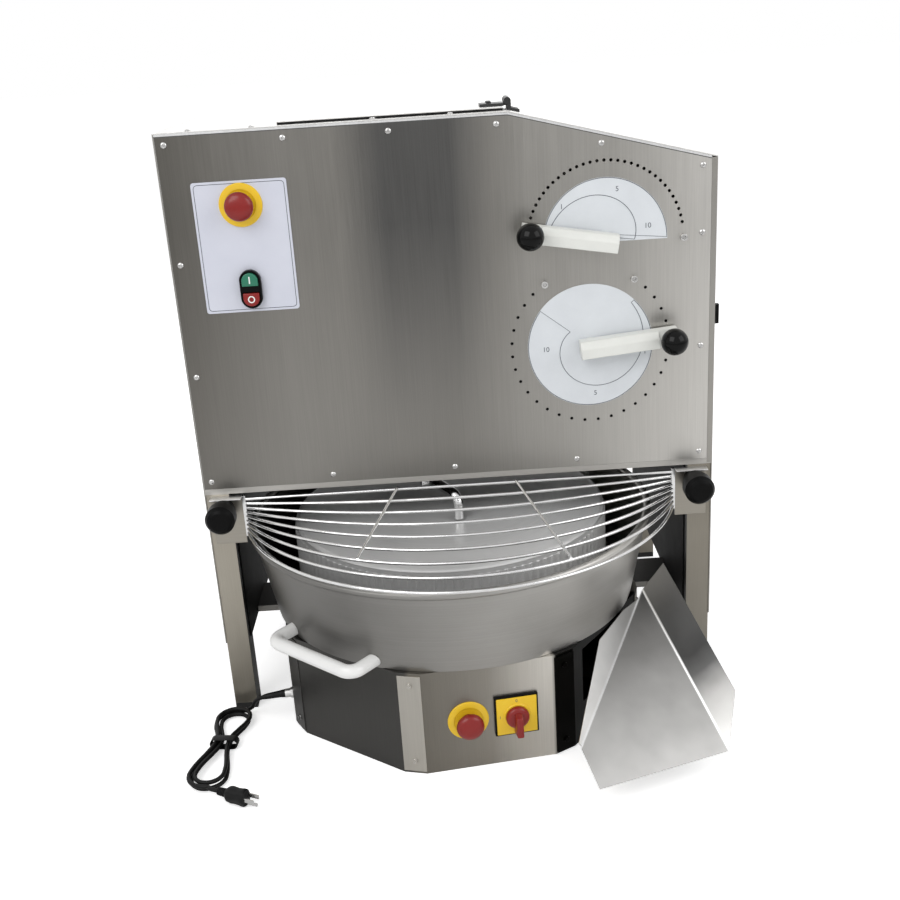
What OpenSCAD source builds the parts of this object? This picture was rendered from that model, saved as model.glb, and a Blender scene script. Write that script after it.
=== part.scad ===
// Dough divider and rounder: a sheet-steel dividing head on four legs stands over
// a rounding bowl whose fluted drum turns on an eight-sided base. Two levers with
// index knobs set the portion and the rounding track. Origin on the drum's axis at
// floor level, +Z up, the front cover faces -Y. Lengths in millimetres.

/* [Head] */
// Width of the head over its side panels
head_w = 764; // [740:1:800]
// Depth of the head from the front cover to the rear panel
head_d = 495; // [480:1:540]
// Height of the level roof above the floor
head_h = 900; // [880:1:940]
// Height of the roof's right edge above the floor
low_h = 824; // [815:1:840]
// Distance of the roof's ridge to the right of the head's middle
peak_x = 97; // [90:1:110]
// Height of the head's underside above the floor
head_bottom = 374; // [371:1:380]
// Height of the side skirts' lower edge above the floor
skirt_bottom = 121; // [115:1:145]
// Thickness of the head's sheet steel
sheet_t = 1.6; // [1.2:0.1:2.5]
// Thickness of the front cover
cover_t = 1.6; // [1.2:0.1:2.5]
// Width of the right panel's front flange
flange_w = 8; // [5:0.5:12]
// Height of the floor sheet's front lip
lip_h = 8.5; // [6:0.5:12]
// Distance of the head's middle to the right of the drum's axis
head_shift = 16; // [13:0.5:18]
// Distance of the drum's axis behind the front cover
setback = 85; // [82:1:90]

/* [Stand] */
// Side of the square legs
leg_w = 35; // [32:1:38]
// Wall of the legs and rails
tube_wall = 2; // [1.5:0.1:3]
// Height of the feet
foot_h = 10; // [8:1:14]
// Height of the head's frame rails
rail_h = 30; // [24:1:36]
// Thickness of the plates that tie the base to the skirts
tie_t = 10; // [6:1:14]
// Depth of the tie plates from front to back
tie_d = 86; // [60:1:100]
// Distance of the tie plates' front edge behind the front cover
tie_y = 100; // [80:1:120]

/* [Lid and hopper] */
// Width of the hopper lid
lid_w = 312; // [300:1:320]
// Depth of the hopper lid
lid_d = 330; // [320:1:360]
// Distance of the lid behind the front cover
lid_y = 14; // [8:1:20]
// Height of the lid's gasket
gasket_h = 3; // [2:0.5:5]
// Width of the gasket strip
gasket_w = 10; // [6:1:12]
// Width of the hopper's mouth
mouth_w = 262; // [240:1:270]
// Depth of the hopper's mouth
mouth_d = 286; // [260:1:300]
// Height of the feed screw's axis
feed_z = 745; // [735:1:755]
// Radius of the feed trough and the measuring chamber
feed_r = 38; // [34:0.5:42]
// Length of the measuring chamber
chamber_l = 82; // [76:1:100]

/* [Controls] */
// Width of the control plate
plate_w = 131; // [110:1:150]
// Height of the control plate
plate_h = 182; // [170:1:200]
// Diameter of the emergency-stop collars
stop_ring_d = 60; // [52:1:66]
// Diameter of the emergency-stop mushrooms
mushroom_d = 40; // [34:1:46]
// Side of the main switch's plate
switch_side = 64; // [56:1:70]
// Width of the twin push-button's bezel
twin_w = 30; // [28:1:36]
// Height of the twin push-button's bezel
twin_h = 54; // [50:1:60]

/* [Dials] */
// Radius of the upper row of index holes
upper_r = 109.5; // [106:0.5:113]
// Radius of the lower row of index holes
lower_r = 113; // [110:0.5:115]
// Diameter of the index holes
index_d = 4.6; // [4.2:0.1:5.2]
// Diameter of the index pins
pin_d = 3.8; // [3:0.1:4]
// Diameter of the ball knobs
ball_d = 38; // [32:1:42]
// Width of the lever arms
arm_w = 25; // [18:1:27]
// Depth of the lever arms
arm_t = 16; // [12:1:18]
// Diameter of the lever shafts
shaft_d = 14; // [12:1:16]
// Teeth on each lever's pinion
teeth = 18; // [18:18:18]
// Module of the pinions and racks
gear_m = 1.5; // [1.4:0.05:1.6]
// Distance of the pinions behind the front cover
gear_y = 185; // [180:1:190]

/* [Bowl and drum] */
// Outer radius of the bowl at its foot
foot_r = 286; // [280:1:288]
// Radius of the bowl's wall at its rim
rim_r = 312; // [308:1:313]
// Height of the bowl's rim
rim_z = 297; // [290:1:299]
// Wall of the bowl
bowl_t = 3; // [2:0.5:4]
// Radius of the rolled rim
bead_r = 6; // [4.5:0.5:6.5]
// Outer radius of the fluted drum
drum_r = 246; // [238:1:247]
// Height of the drum's upper edge
drum_z = 301; // [295:1:302]
// Rise of the drum's top towards its middle
drum_rise = 14; // [8:1:16]
// Height of the fluted skirt
skirt_h = 76; // [60:1:84]
// Flutes round the drum
flutes = 120; // [60:1:180]
// Diameter of the drum's shaft
spindle_d = 36; // [30:1:42]

/* [Base] */
// Distance of the base's faces from the drum's axis
base_a = 277; // [272:1:279]
// Height of the base
base_h = 165; // [160:1:167]
// Turn of the base to the left of the head
base_yaw = 8.3; // [6:0.1:10]
// Thickness of the base's panels
panel_t = 2; // [1.5:0.1:3]
// Width of the corner strips
strip_w = 34; // [28:1:36]

/* [Guard] */
// Distance of the guard's end plates inside the head's sides
guard_in = 56; // [52:0.5:57]
// Diameter of the guard's wires
wire_d = 4.5; // [3.5:0.1:5]
// Wires in the guard
wires = 9; // [7:1:9]
// Forward step from one wire to the next
wire_step = 30.25; // [28:0.25:31]
// Drop from one wire to the next
wire_drop = 6.8; // [5.6:0.1:6.8]
// Height of the guard's top bar
wire_z = 364; // [362:0.5:366]
// Diameter of the guard's clamp knobs
clamp_d = 44; // [38:1:48]
// Length of the clamp knobs in front of the end plates
clamp_l = 55; // [48:1:60]

/* [Chute] */
// Width of the chute's floor
chute_w = 201; // [190:1:205]
// Length of the chute's right edge
chute_l = 279; // [262:1:282]
// Slope of the chute's floor
chute_slope = 30; // [29:0.5:31]
// Width of the chute's side walls
chute_side = 50; // [40:1:54]
// Thickness of the chute's sheet
chute_t = 1.5; // [1:0.1:2.5]

/* [Cord] */
// Diameter of the power cord
cord_d = 6.5; // [6:0.1:6.5]

/* [Hidden] */
$fn = 96;
// Overrun of every cut
over = 1;
// Gap between bodies that move past each other
gap = 0.3;
// Clearance of fixed sheet edges and screw shanks
fit = 0.2;
// Running fit of the shafts
run = 0.08;

half_w = head_w / 2;
in_w = half_w - sheet_t;
slope = (head_h - low_h) / (half_w - peak_x);
function roof_z(x) = x < peak_x ? head_h : head_h - slope * (x - peak_x);
floor_top = head_bottom + sheet_t;
rear_y = head_d - sheet_t;
leg_in = in_w - leg_w;
leg_back = cover_t + leg_w;
rear_leg_y = rear_y - leg_w;
cover_z0 = head_bottom + lip_h + fit;
cover_x0 = -in_w + fit;
cover_x1 = half_w - flange_w - fit;

// Sizes of the smaller pieces
foot_plug = 14;
opening_x0 = -150;
opening_x1 = 245;
opening_y0 = 110;
opening_y1 = 400;
screw_d = 8.5;
screw_h = 2.6;
shank_d = 4;
screw_inset = 12;
left_rows = 4;
bottom_screws = 5;
top_screw_share = [0.228, 0.415, 0.606];
slope_screw_share = [0.474];
roof_screw_share = [0.1, 0.28, 0.62, 0.84];
side_screws_right = [0, 1, 2];
top_inset = 16;
roof_inset = 5;
lid_t = 1.6;
lid_lip = 8;
hinge_w = 40;
hinge_leaf = 38;
hinge_low = 14;
hinge_t = 4;
hinge_pin_r = 5;
hinge_core_r = 2.4;
hinge_knuckles = 3;
hinge_screw_d = 7;
hinge_places_share = [0.12];
hopper_t = 2;
hopper_rim = 14;
chamber_step = 1;
chamber_t = 4;
chamber_r = feed_r - chamber_step;
feed_shaft_d = 20;
paddles = 7;
paddle_t = 6;
paddle_w = 26;
paddle_turn = 50;
paddle_tilt = 30;
motor_d = 112;
motor_l = 118;
motor_bore_l = 30;
piston_t = 12;
piston_rest = 20;
bar_w = 14;
bar_h = 22;
outlet_w = 40;
outlet_l = 34;
outlet_x = 6;
bar_l = 160;
bar_tail = 36;

// Controls
plate_in = 108;
plate_drop = 159;
plate_x = plate_in - half_w;
plate_z = head_h - plate_drop;
plate_t = 2;
plate_r = 4;
stop_drop = 101;
stop_x = plate_x;
stop_z = head_h - stop_drop;
ring_t = 3;
stem_d = 22;
stem_l = 20;
stem_gap = 10;
cap_h = 15;
cap_edge = 4;
stop_travel = 4;
twin_in = 109;
twin_drop = 217;
twin_x = twin_in - half_w;
twin_z = head_h - twin_drop;
twin_t = 9;
twin_r = 9;
button_w = 22;
button_h = 20;
button_split = 4;
button_out = 3;
button_deep = 6;
key_r = 6;

// Dials
upper_in = 156.2;
upper_x = half_w - upper_in;
upper_z = 718;
lower_in = 179.6;
lower_x = half_w - lower_in;
lower_z = 568;
upper_rest = 170;
upper_sweep = 160;
upper_pitch = 5;
lower_rest = 5;
lower_back = 40;
lower_sweep = 230;
lower_pitch = 10;
upper_plate_r = 87;
upper_plate_drop = 2;
lower_plate_r = 90;
dial_t = 1.2;
stop_screw_d = 8;
stop_screw_h = 7;
upper_stop = -1;
lower_stops = [56, 124];
arm_tail = 16;
arm_wall = 3;
arm_gap = 5;
hub_d = 28;
ball_lift = 6.5;
knob_stem_d = 10;
index_travel = 5;
gear_w = 16;
pitch_r = teeth * gear_m / 2;
tip_share = 0.9;
root_share = 1.15;
tooth_share = 0.42;
tooth_lean = tan(20);
gear_pitch = PI * gear_m;

// Track, tube, bowl, drum
track_gap = 6.5;
track_t = 5.5;
track_low = 39;
track_top = 296;
track_z0 = base_h + track_low;
track_h = track_top - track_z0;
track_arm_z = 323;
track_arm_h = 14;
track_start = 24;
track_span = 120;
post_w = 24;
post_d = 14;
post_top = 70;
tube_d = 16;
tube_bore = 12;
tube_x = 14;
tube_y = -88;
tube_z0 = 312.5;
tube_z1 = 332;
tube_bend = 16;
tube_run = 78;
tube_turn = 118;
lug_w = 30;
lug_t = 6;
bowl_hole_r = 62;
exit_w = 90;
exit_d = 48;
exit_r = 230;
grip_d = 20;
grip_half = 65;
grip_lift = 13;
grip_z = base_h + grip_lift;
grip_az = 229;
grip_out = 36;
grip_bend = 17;
flute_d = 2.5;
skirt_t = 7;
drum_t = 4;
edge_r = 7;
nut_d = 52;
nut_h = 10;
housing_d = 124;
housing_h = 62;
top_t = 3;
drive_d = 156;
drive_lift = 16;
drive_h = base_h - top_t - housing_h - drive_lift;
box_w = 70;
box_d = 50;
box_h = 60;

// Base
circum = 1 / cos(180 / 8);
strip_cut = strip_w / (2 * tan(180 * 3 / 8));
strip_a = base_a * circum - strip_cut;
strip_t = 1.5;
strip_end = 4;
strip_screw_z = 16;
exit_open_w = 140;
exit_open_z0 = 62;
exit_open_h = 88;
base_stop_x = -32;
base_stop_z = 80;
switch_x = 38;
switch_z = 80;
switch_t = 4;
switch_r = 6;
bezel_d = 46;
bezel_t = 5;
handle_d = 34;
handle_t = 8;
handle_l = 46;
handle_w = 12;
handle_h = 14;
switch_stem_d = 10;
gland_x = 80;
gland_z = 46;
gland_hex_d = 17;
gland_hex_l = 5;
gland_d = 14;
gland_l = 9;

// Guard
guard_t = 4;
guard_edge = 9;
guard_half = half_w - guard_in;
guard_out = half_w - guard_edge;
guard_top = 370;
guard_z0 = 294;
guard_lip = 12;
end_bar_gap = 0.1;
end_bar_w = 5;
end_bar_d = 6.5;
stay_lift_share = 0.55;
stay_x = [-92, 86];
stay_end_x = [-147, 147];
stay_wire = [6, 7];
clamp_in = 29;
clamp_x = half_w - clamp_in;
clamp_z = 352;
clamp_edge = 8;
stud_d = 9.4;
stud_l = guard_t;
collar_d = 30;
collar_share = 0.24;
step_d = 37;
step_share = 0.2;

// Chute
chute_x = 178.6;
chute_y = -402;
chute_z = 40;
chute_yaw = 19.4;
chute_flare = 39;
chute_left_l = 63;
chute_front_share = 1.4;
chute_top_extra = 20;
chute_toe_share = 0.14;
chute_peak_share = 0.82;
chute_heel_share = 0.4;
chute_peak_at = 0.54;
chute_heel_at = 0.8;
chute_tail_at = 0.95;
brace_in = 13;
brace_t = 4;
brace_back = 15;
brace_l = 58;
brace_toe = 16;
brace_drop = 105;
latch_d = 29;
latch_l = 10;
latch_z = 593;
latch_y = 42;
latch_stem_d = 9;
latch_grip = 8;

// Route of the cord on the floor and of its hank
lay_z = 4.85;
hank_a = [-359, -128.5];
hank_b = [-374, -272];
hank_r = 30;
hank_step = 9.6;
hank_turns = 1;
hank_waist = 15.5;
hank_tie_share = 0.42;
hank_layer = 7;
hank_rings = 24;
hank_sides = 6;
cord_sides = 8;
tie_w = 12;
tie_wall = 1.2;
tie_room = 0.4;
plug_start = [-353, -315, 13];
plug_turn = -26;
plug_d = 25;
plug_l = 34;
plug_neck_d = 13;
plug_neck_l = 14;
blade_l = 17;
blade_w = 6.4;
blade_t = 1.6;
blade_gap = 12.7;
earth_d = 4.8;
earth_drop = 7;
lead_in = [[-303, -125, 45], [-311, -124, 43], [-317, -122, 40], [-322, -119, 36], [-326, -116, 31],
  [-329, -112, 25], [-333, -108, 17], [-339, -104, 11], [-346, -101, 6.5]];
lead_out = [[-365, -308, 12]];
lead_stub = 0.5;

module machine() {
  translate([head_shift, -setback, 0]) children();
}

module on_front(x, z, y = 0) {
  translate([x, y, z]) rotate([90, 0, 0]) children();
}

module base_face(i, x, z) {
  rotate([0, 0, base_yaw + 45 * i]) translate([0, -base_a, 0]) on_front(x, z) children();
}

module rounded(w, h, r) {
  square([w - 2 * r, h], center = true);
  square([w, h - 2 * r], center = true);
  for (i = [-1, 1], j = [-1, 1]) translate([i * (w / 2 - r), j * (h / 2 - r)]) circle(r);
}

module box_tube(l, w, h) {
  difference() {
    cube([l, w, h]);
    translate([-over, tube_wall, tube_wall]) cube([l + 2 * over, w - 2 * tube_wall, h - 2 * tube_wall]);
  }
}

module leg_tube(h) {
  difference() {
    cube([leg_w, leg_w, h]);
    translate([tube_wall, tube_wall, -over])
      cube([leg_w - 2 * tube_wall, leg_w - 2 * tube_wall, h + 2 * over]);
  }
}

module rod(p, q, d) {
  v = q - p;
  translate(p) rotate([0, acos(v[2] / norm(v)), atan2(v[1], v[0])]) cylinder(d = d, h = norm(v));
}

module screw(d = screw_d, h = screw_h, l = cover_t) {
  cylinder(d = d, h = h);
  translate([0, 0, -l]) cylinder(d = shank_d, h = l + h / 2);
}

// Tops of the left and right legs, under the roof
function leg_top(s) = (s < 0 ? head_h : roof_z(half_w)) - sheet_t - gap;
function leg_x(s) = s < 0 ? -in_w : leg_in;

module front_legs() {
  color("silver") machine() for (s = [-1, 1]) difference() {
    translate([leg_x(s), cover_t, foot_h]) leg_tube(leg_top(s) - foot_h);
    on_front(s * clamp_x, clamp_z, cover_t + tube_wall + over)
      cylinder(d = stud_d + 2 * gap, h = tube_wall + 2 * over);
  }
}

module rear_legs() {
  color("silver") machine() for (s = [-1, 1])
    translate([leg_x(s), rear_leg_y, foot_h]) leg_tube(leg_top(s) - foot_h);
}

module leg_feet() {
  plug_w = leg_w - 2 * tube_wall - 2 * fit;
  color("#222222") machine() for (s = [-1, 1], y = [cover_t, rear_leg_y]) {
    translate([leg_x(s), y, 0]) cube([leg_w, leg_w, foot_h]);
    translate([leg_x(s) + tube_wall + fit, y + tube_wall + fit, foot_h / 2])
      cube([plug_w, plug_w, foot_h / 2 + foot_plug]);
  }
}

module frame_rails() {
  side_l = rear_leg_y - leg_back;
  color("silver") machine() {
    translate([-leg_in, cover_t, floor_top]) box_tube(2 * leg_in, leg_w, rail_h);
    translate([-leg_in, rear_leg_y, floor_top]) box_tube(2 * leg_in, leg_w, rail_h);
    for (s = [-1, 1]) {
      translate([leg_x(s) + leg_w, leg_back, floor_top]) rotate([0, 0, 90]) box_tube(side_l, leg_w, rail_h);
      translate([leg_x(s) + leg_w, leg_back, leg_top(s) - rail_h])
        rotate([0, 0, 90]) box_tube(side_l, leg_w, rail_h);
    }
  }
}

// Plan distance from the axis to the base's left or right face at a depth y
function face_x(y, s) = (base_a - s * sin(base_yaw) * y) / cos(base_yaw);

module tie_plates() {
  y0 = tie_y - setback;
  y1 = y0 + tie_d;
  color("dimgray") translate([0, 0, skirt_bottom]) linear_extrude(tie_t) {
    for (s = [-1, 1]) {
      wall_x = s * (leg_in - sheet_t) + head_shift;
      polygon([[wall_x, y0], [wall_x, y1], [s * (face_x(y1, s) + strip_t + fit), y1], [s * (face_x(y0, s) + strip_t + fit), y0]]);
    }
  }
}

module skirt_liners() {
  color("#303030") machine() for (s = [-1, 1])
    translate([s > 0 ? leg_in - sheet_t : -leg_in, leg_back - leg_w / 2, skirt_bottom])
      cube([sheet_t, rear_leg_y - leg_back + leg_w, head_bottom - skirt_bottom]);
}

module head_floor() {
  color("gray") machine() difference() {
    union() {
      translate([-in_w, 0, head_bottom]) cube([2 * in_w, rear_y, sheet_t]);
      translate([-in_w, 0, head_bottom]) cube([2 * in_w - flange_w + sheet_t, cover_t, lip_h]);
    }
    translate([opening_x0, opening_y0, head_bottom - over])
      cube([opening_x1 - opening_x0, opening_y1 - opening_y0, sheet_t + 2 * over]);
    for (s = [-1, 1], y = [cover_t, rear_leg_y])
      translate([leg_x(s) - fit - over * (1 - s) / 2, y - (y > leg_back ? fit : 0), head_bottom - over])
        cube([leg_w + fit + over, leg_w + (y > leg_back ? fit + over : fit), lip_h + 2 * over]);
  }
}

module left_side_panel() {
  color("silver") machine() translate([-half_w, 0, skirt_bottom])
    cube([sheet_t, head_d, head_h - sheet_t - fit - skirt_bottom]);
}

module right_side_panel() {
  top = roof_z(half_w) - sheet_t - fit;
  color("silver") machine() difference() {
    union() {
      translate([in_w, 0, skirt_bottom]) cube([sheet_t, head_d, top - skirt_bottom]);
      translate([half_w - flange_w, 0, floor_top + fit]) cube([flange_w, cover_t, top - floor_top - fit]);
    }
    translate([in_w - over, latch_y, latch_z]) rotate([0, 90, 0])
      cylinder(d = latch_stem_d + 2 * run, h = sheet_t + 2 * over);
  }
}

module rear_panel() {
  color("silver") machine() on_front(0, 0, head_d) linear_extrude(sheet_t)
    polygon([[-in_w + fit, head_bottom], [in_w - fit, head_bottom],
             [in_w - fit, roof_z(half_w) - sheet_t - fit], [peak_x, head_h - sheet_t - fit],
             [-in_w + fit, head_h - sheet_t - fit]]);
}

lid_x1 = peak_x;
lid_x0 = peak_x - lid_w;
lid_z = head_h + gasket_h;
hole_x0 = lid_x0 + gasket_w + lid_lip;
hole_x1 = lid_x1 - hinge_leaf;
hole_y0 = lid_y + gasket_w + lid_lip;
hole_d = lid_d - 2 * (gasket_w + lid_lip);

module roof_sheet() {
  color("silver") machine() difference() {
    on_front(0, 0, head_d) linear_extrude(head_d)
      polygon([[-half_w, head_h], [peak_x, head_h], [half_w, low_h],
               [half_w, low_h - sheet_t], [peak_x, head_h - sheet_t], [-half_w, head_h - sheet_t]]);
    translate([hole_x0, hole_y0, head_h - sheet_t - over])
      cube([hole_x1 - hole_x0, hole_d, sheet_t + 2 * over]);
  }
}

// Places of the cover's screws, seen from the front
cover_left = cover_x0 + screw_inset;
cover_right = cover_x1 - screw_inset;
cover_low = cover_z0 + screw_inset;
row_step = (head_h - top_inset - cover_low) / (left_rows - 1);
screw_places = concat(
  [for (i = [0:bottom_screws - 1]) [cover_left + i * (cover_right - cover_left) / (bottom_screws - 1), cover_low]],
  [for (i = [1:left_rows - 1]) [cover_left, cover_low + i * row_step]],
  [for (i = side_screws_right) if (i > 0 && cover_low + i * row_step < roof_z(cover_right) - 2 * top_inset)
    [cover_right, cover_low + i * row_step]],
  [[cover_right, roof_z(cover_right) - top_inset]],
  [for (s = top_screw_share) [-half_w + s * head_w, head_h - top_inset]],
  [for (s = slope_screw_share) let(x = peak_x + s * (cover_right - peak_x)) [x, roof_z(x) - top_inset]]);

upper_holes = [for (a = [upper_rest:-upper_pitch:upper_rest - upper_sweep]) a];
lower_holes = [for (a = [lower_rest + lower_back:-lower_pitch:lower_rest - lower_sweep]) a];

module front_cover() {
  cut = cover_t + 2 * over;
  color("silver") machine() difference() {
    on_front(0, 0, cover_t) linear_extrude(cover_t)
      polygon([[cover_x0, cover_z0], [cover_x1, cover_z0], [cover_x1, roof_z(cover_x1) - sheet_t - fit],
               [peak_x, head_h - sheet_t - fit], [cover_x0, head_h - sheet_t - fit]]);
    for (p = screw_places) on_front(p[0], p[1], cover_t + over) cylinder(d = shank_d + 2 * fit, h = cut);
    for (a = upper_holes) on_front(upper_x + upper_r * cos(a), upper_z + upper_r * sin(a), cover_t + over)
      cylinder(d = index_d, h = cut);
    for (a = lower_holes) on_front(lower_x + lower_r * cos(a), lower_z + lower_r * sin(a), cover_t + over)
      cylinder(d = index_d, h = cut);
    for (c = [[upper_x, upper_z], [lower_x, lower_z]]) on_front(c[0], c[1], cover_t + over)
      cylinder(d = shaft_d + 2 * run, h = cut);
    on_front(stop_x, stop_z, cover_t + over) cylinder(d = stem_d + 2 * gap, h = cut);
    for (s = [-1, 1]) on_front(twin_x, twin_z + s * (button_h + button_split) / 2, cover_t + over)
      cylinder(d = key_r * 2 + 2 * gap, h = cut);
    for (p = stop_places) on_front(p[0], p[1], cover_t + over) cylinder(d = shank_d + 2 * fit, h = cut);
  }
}

module cover_screws() {
  color("gainsboro") machine() {
    for (p = screw_places) on_front(p[0], p[1]) screw();
    for (s = roof_screw_share) translate([-half_w + s * (peak_x + half_w), roof_inset, head_h])
      cylinder(d = screw_d - 2 * fit, h = screw_h);
  }
}

feed_y = gear_y;
mouth_x1 = hole_x1 - hopper_t;
mouth_x0 = mouth_x1 - mouth_w;
mouth_y0 = lid_y + lid_d / 2 - mouth_d / 2;
hopper_top = head_h - sheet_t;

module hopper_shape(w) {
  polygon([[mouth_y0 + w, hopper_top + over * w], [mouth_y0 + mouth_d - w, hopper_top + over * w],
           [feed_y + feed_r + hopper_t - w, feed_z], [feed_y - feed_r - hopper_t + w, feed_z]]);
  translate([feed_y, feed_z]) circle(feed_r + hopper_t - w);
}

module hopper() {
  rim_x = mouth_x0 - hopper_rim;
  color("silver") machine() difference() {
    union() {
      translate([mouth_x0, 0, 0]) rotate([90, 0, 90]) linear_extrude(mouth_w) hopper_shape(0);
      translate([rim_x, mouth_y0 - hopper_rim, hopper_top - sheet_t])
        cube([mouth_w + hopper_rim * 2, mouth_d + 2 * hopper_rim, sheet_t]);
      translate([mouth_x1, feed_y, feed_z]) rotate([0, 90, 0]) cylinder(r = chamber_r + chamber_t, h = chamber_l);
    }
    translate([mouth_x0 + hopper_t, 0, 0]) rotate([90, 0, 90])
      linear_extrude(mouth_w - 2 * hopper_t) hopper_shape(hopper_t);
    translate([mouth_x1 - 2 * hopper_t, feed_y, feed_z]) rotate([0, 90, 0])
      cylinder(r = chamber_r, h = chamber_l + 2 * hopper_t + over);
    translate([mouth_x0 - over, feed_y, feed_z]) rotate([0, 90, 0])
      cylinder(d = feed_shaft_d + 2 * run, h = hopper_t + 2 * over);
    translate([mouth_x1 + outlet_x, feed_y - outlet_w / 2, feed_z - feed_r - hopper_t - over])
      cube([outlet_l, outlet_w, feed_r]);
  }
}

module lid_gasket() {
  color("#181818") machine() translate([lid_x0 + lid_lip, lid_y + lid_lip, head_h]) difference() {
    cube([hole_x1 + gasket_w - lid_x0 - lid_lip, lid_d - 2 * lid_lip, gasket_h - gap]);
    translate([gasket_w, gasket_w, -over])
      cube([hole_x1 - lid_x0 - lid_lip - gasket_w, lid_d - 2 * lid_lip - 2 * gasket_w, gasket_h + over]);
  }
}

hinge_z = lid_z + lid_t + hinge_t + hinge_pin_r / 2;
hinge_axis_x = peak_x + hinge_pin_r / 2;
function hinge_y(s) = lid_y + s * lid_d - hinge_w / 2;
knuckle = hinge_w / hinge_knuckles;

// Leaf and outer knuckles of the hinge, on the roof beyond the ridge
module roof_hinges() {
  foot = head_h - slope * (hinge_low + hinge_pin_r);
  color("#202020") machine() for (s = hinge_places_share) translate([0, hinge_y(s), 0]) difference() {
    union() {
      for (i = [0, 2]) translate([0, i * knuckle, 0]) {
        translate([hinge_axis_x, knuckle - fit, hinge_z]) rotate([90, 0, 0])
          cylinder(r = hinge_pin_r, h = knuckle - 2 * fit);
        translate([0, knuckle - fit, 0]) rotate([90, 0, 0]) linear_extrude(knuckle - 2 * fit)
          polygon([[hinge_axis_x, hinge_z - hinge_pin_r / 2],
                   [hinge_axis_x + hinge_pin_r, hinge_z],
                   [hinge_axis_x + hinge_pin_r, head_h + hinge_t - slope * (hinge_axis_x + hinge_pin_r - peak_x)],
                   [peak_x + hinge_low + hinge_pin_r, foot + hinge_t],
                   [peak_x + hinge_low + hinge_pin_r, foot + fit / 2],
                   [hinge_axis_x, head_h + fit / 2 - slope * (hinge_axis_x - peak_x)]]);
      }
      translate([hinge_axis_x, hinge_w - fit, hinge_z]) rotate([90, 0, 0])
        cylinder(r = hinge_core_r, h = hinge_w - 2 * fit);
    }
  }
}

// Leaf and middle knuckle of the hinge, on the lid
module lid_hinges() {
  color("#202020") machine() for (s = hinge_places_share) translate([0, hinge_y(s), 0]) {
    difference() {
      union() {
        translate([hinge_axis_x - hinge_leaf, 0, lid_z + lid_t])
          cube([hinge_leaf - hinge_pin_r - fit, hinge_w, hinge_t]);
        translate([hinge_axis_x - hinge_leaf / 2, knuckle + fit, lid_z + lid_t])
          cube([hinge_leaf / 2, knuckle - 2 * fit, hinge_t]);
        translate([hinge_axis_x, 2 * knuckle - fit, hinge_z]) rotate([90, 0, 0])
          cylinder(r = hinge_pin_r, h = knuckle - 2 * fit);
      }
      translate([hinge_axis_x, hinge_w + over, hinge_z]) rotate([90, 0, 0])
        cylinder(r = hinge_core_r + run, h = hinge_w + 2 * over);
    }
    for (j = [1, 3]) translate([hinge_axis_x - hinge_leaf * 2 / 3, j * hinge_w / 4, lid_z + lid_t + hinge_t])
      cylinder(d = hinge_screw_d, h = screw_h);
  }
}

module hopper_lid() {
  color("silver") machine() difference() {
    translate([lid_x0, lid_y, lid_z - gasket_h + gap])
      cube([lid_w - hinge_pin_r, lid_d, lid_t + gasket_h - gap]);
    translate([lid_x0 + lid_t, lid_y + lid_t, lid_z - gasket_h])
      cube([lid_w, lid_d - 2 * lid_t, gasket_h]);
  }
}

module feed_auger() {
  shaft_l = mouth_w - hopper_t + motor_bore_l - feed_r;
  color("lightgray") machine() translate([mouth_x0 - motor_bore_l + gap, feed_y, feed_z]) rotate([0, 90, 0]) {
    cylinder(d = feed_shaft_d, h = shaft_l);
    for (i = [1:paddles]) translate([0, 0, motor_bore_l + i * (mouth_w - feed_r - paddle_w) / (paddles + 1)])
      rotate([0, 0, i * paddle_turn]) rotate([0, -90, 0]) rotate([0, 0, paddle_tilt])
        translate([-paddle_w / 2, -paddle_t / 2, 0]) cube([paddle_w, paddle_t, feed_r - paddle_t]);
  }
}

module auger_motor() {
  color("slategray") machine() translate([mouth_x0 - motor_l, feed_y, feed_z]) rotate([0, 90, 0]) difference() {
    union() {
      cylinder(d = motor_d, h = motor_l - 2 * hopper_t);
      translate([0, 0, motor_l - 4 * hopper_t]) cylinder(d = 2 * feed_r, h = 4 * hopper_t);
    }
    translate([0, 0, motor_l - motor_bore_l]) cylinder(d = feed_shaft_d + 2 * run, h = motor_bore_l + over);
  }
}

// One side's tooth outline: half thickness at the pitch line, tip and root
tooth_half = tooth_share * gear_pitch / 2;
tooth_tip = tooth_half - tooth_lean * tip_share * gear_m;
tooth_root = tooth_half + tooth_lean * root_share * gear_m;
tip_r = pitch_r + tip_share * gear_m;
root_r = pitch_r - root_share * gear_m;
tip_a = tooth_tip / tip_r * 180 / PI;
root_a = tooth_root / root_r * 180 / PI;
function polar(r, a) = [r * cos(a), r * sin(a)];

module pinion() {
  linear_extrude(gear_w) polygon([for (i = [0:teeth - 1]) let(a = i * 360 / teeth)
    each [polar(root_r, a - root_a), polar(tip_r, a - tip_a), polar(tip_r, a + tip_a), polar(root_r, a + root_a)]]);
}

// Rack teeth along +X with their tips towards -Y; the pitch line lies on the X axis
module rack_teeth(i0, i1) {
  for (i = [i0:i1]) translate([i * gear_pitch, 0])
    polygon([[-tooth_root, rack_back + over], [-tooth_root, rack_back], [-tooth_tip, -tip_share * gear_m],
             [tooth_tip, -tip_share * gear_m], [tooth_root, rack_back], [tooth_root, rack_back + over]]);
}

rack_back = root_share * gear_m;
piston_x = mouth_x1 + piston_rest;
upper_throw = pitch_r * upper_sweep * PI / 180;
upper_teeth = ceil(upper_throw / gear_pitch) + 2;

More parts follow.
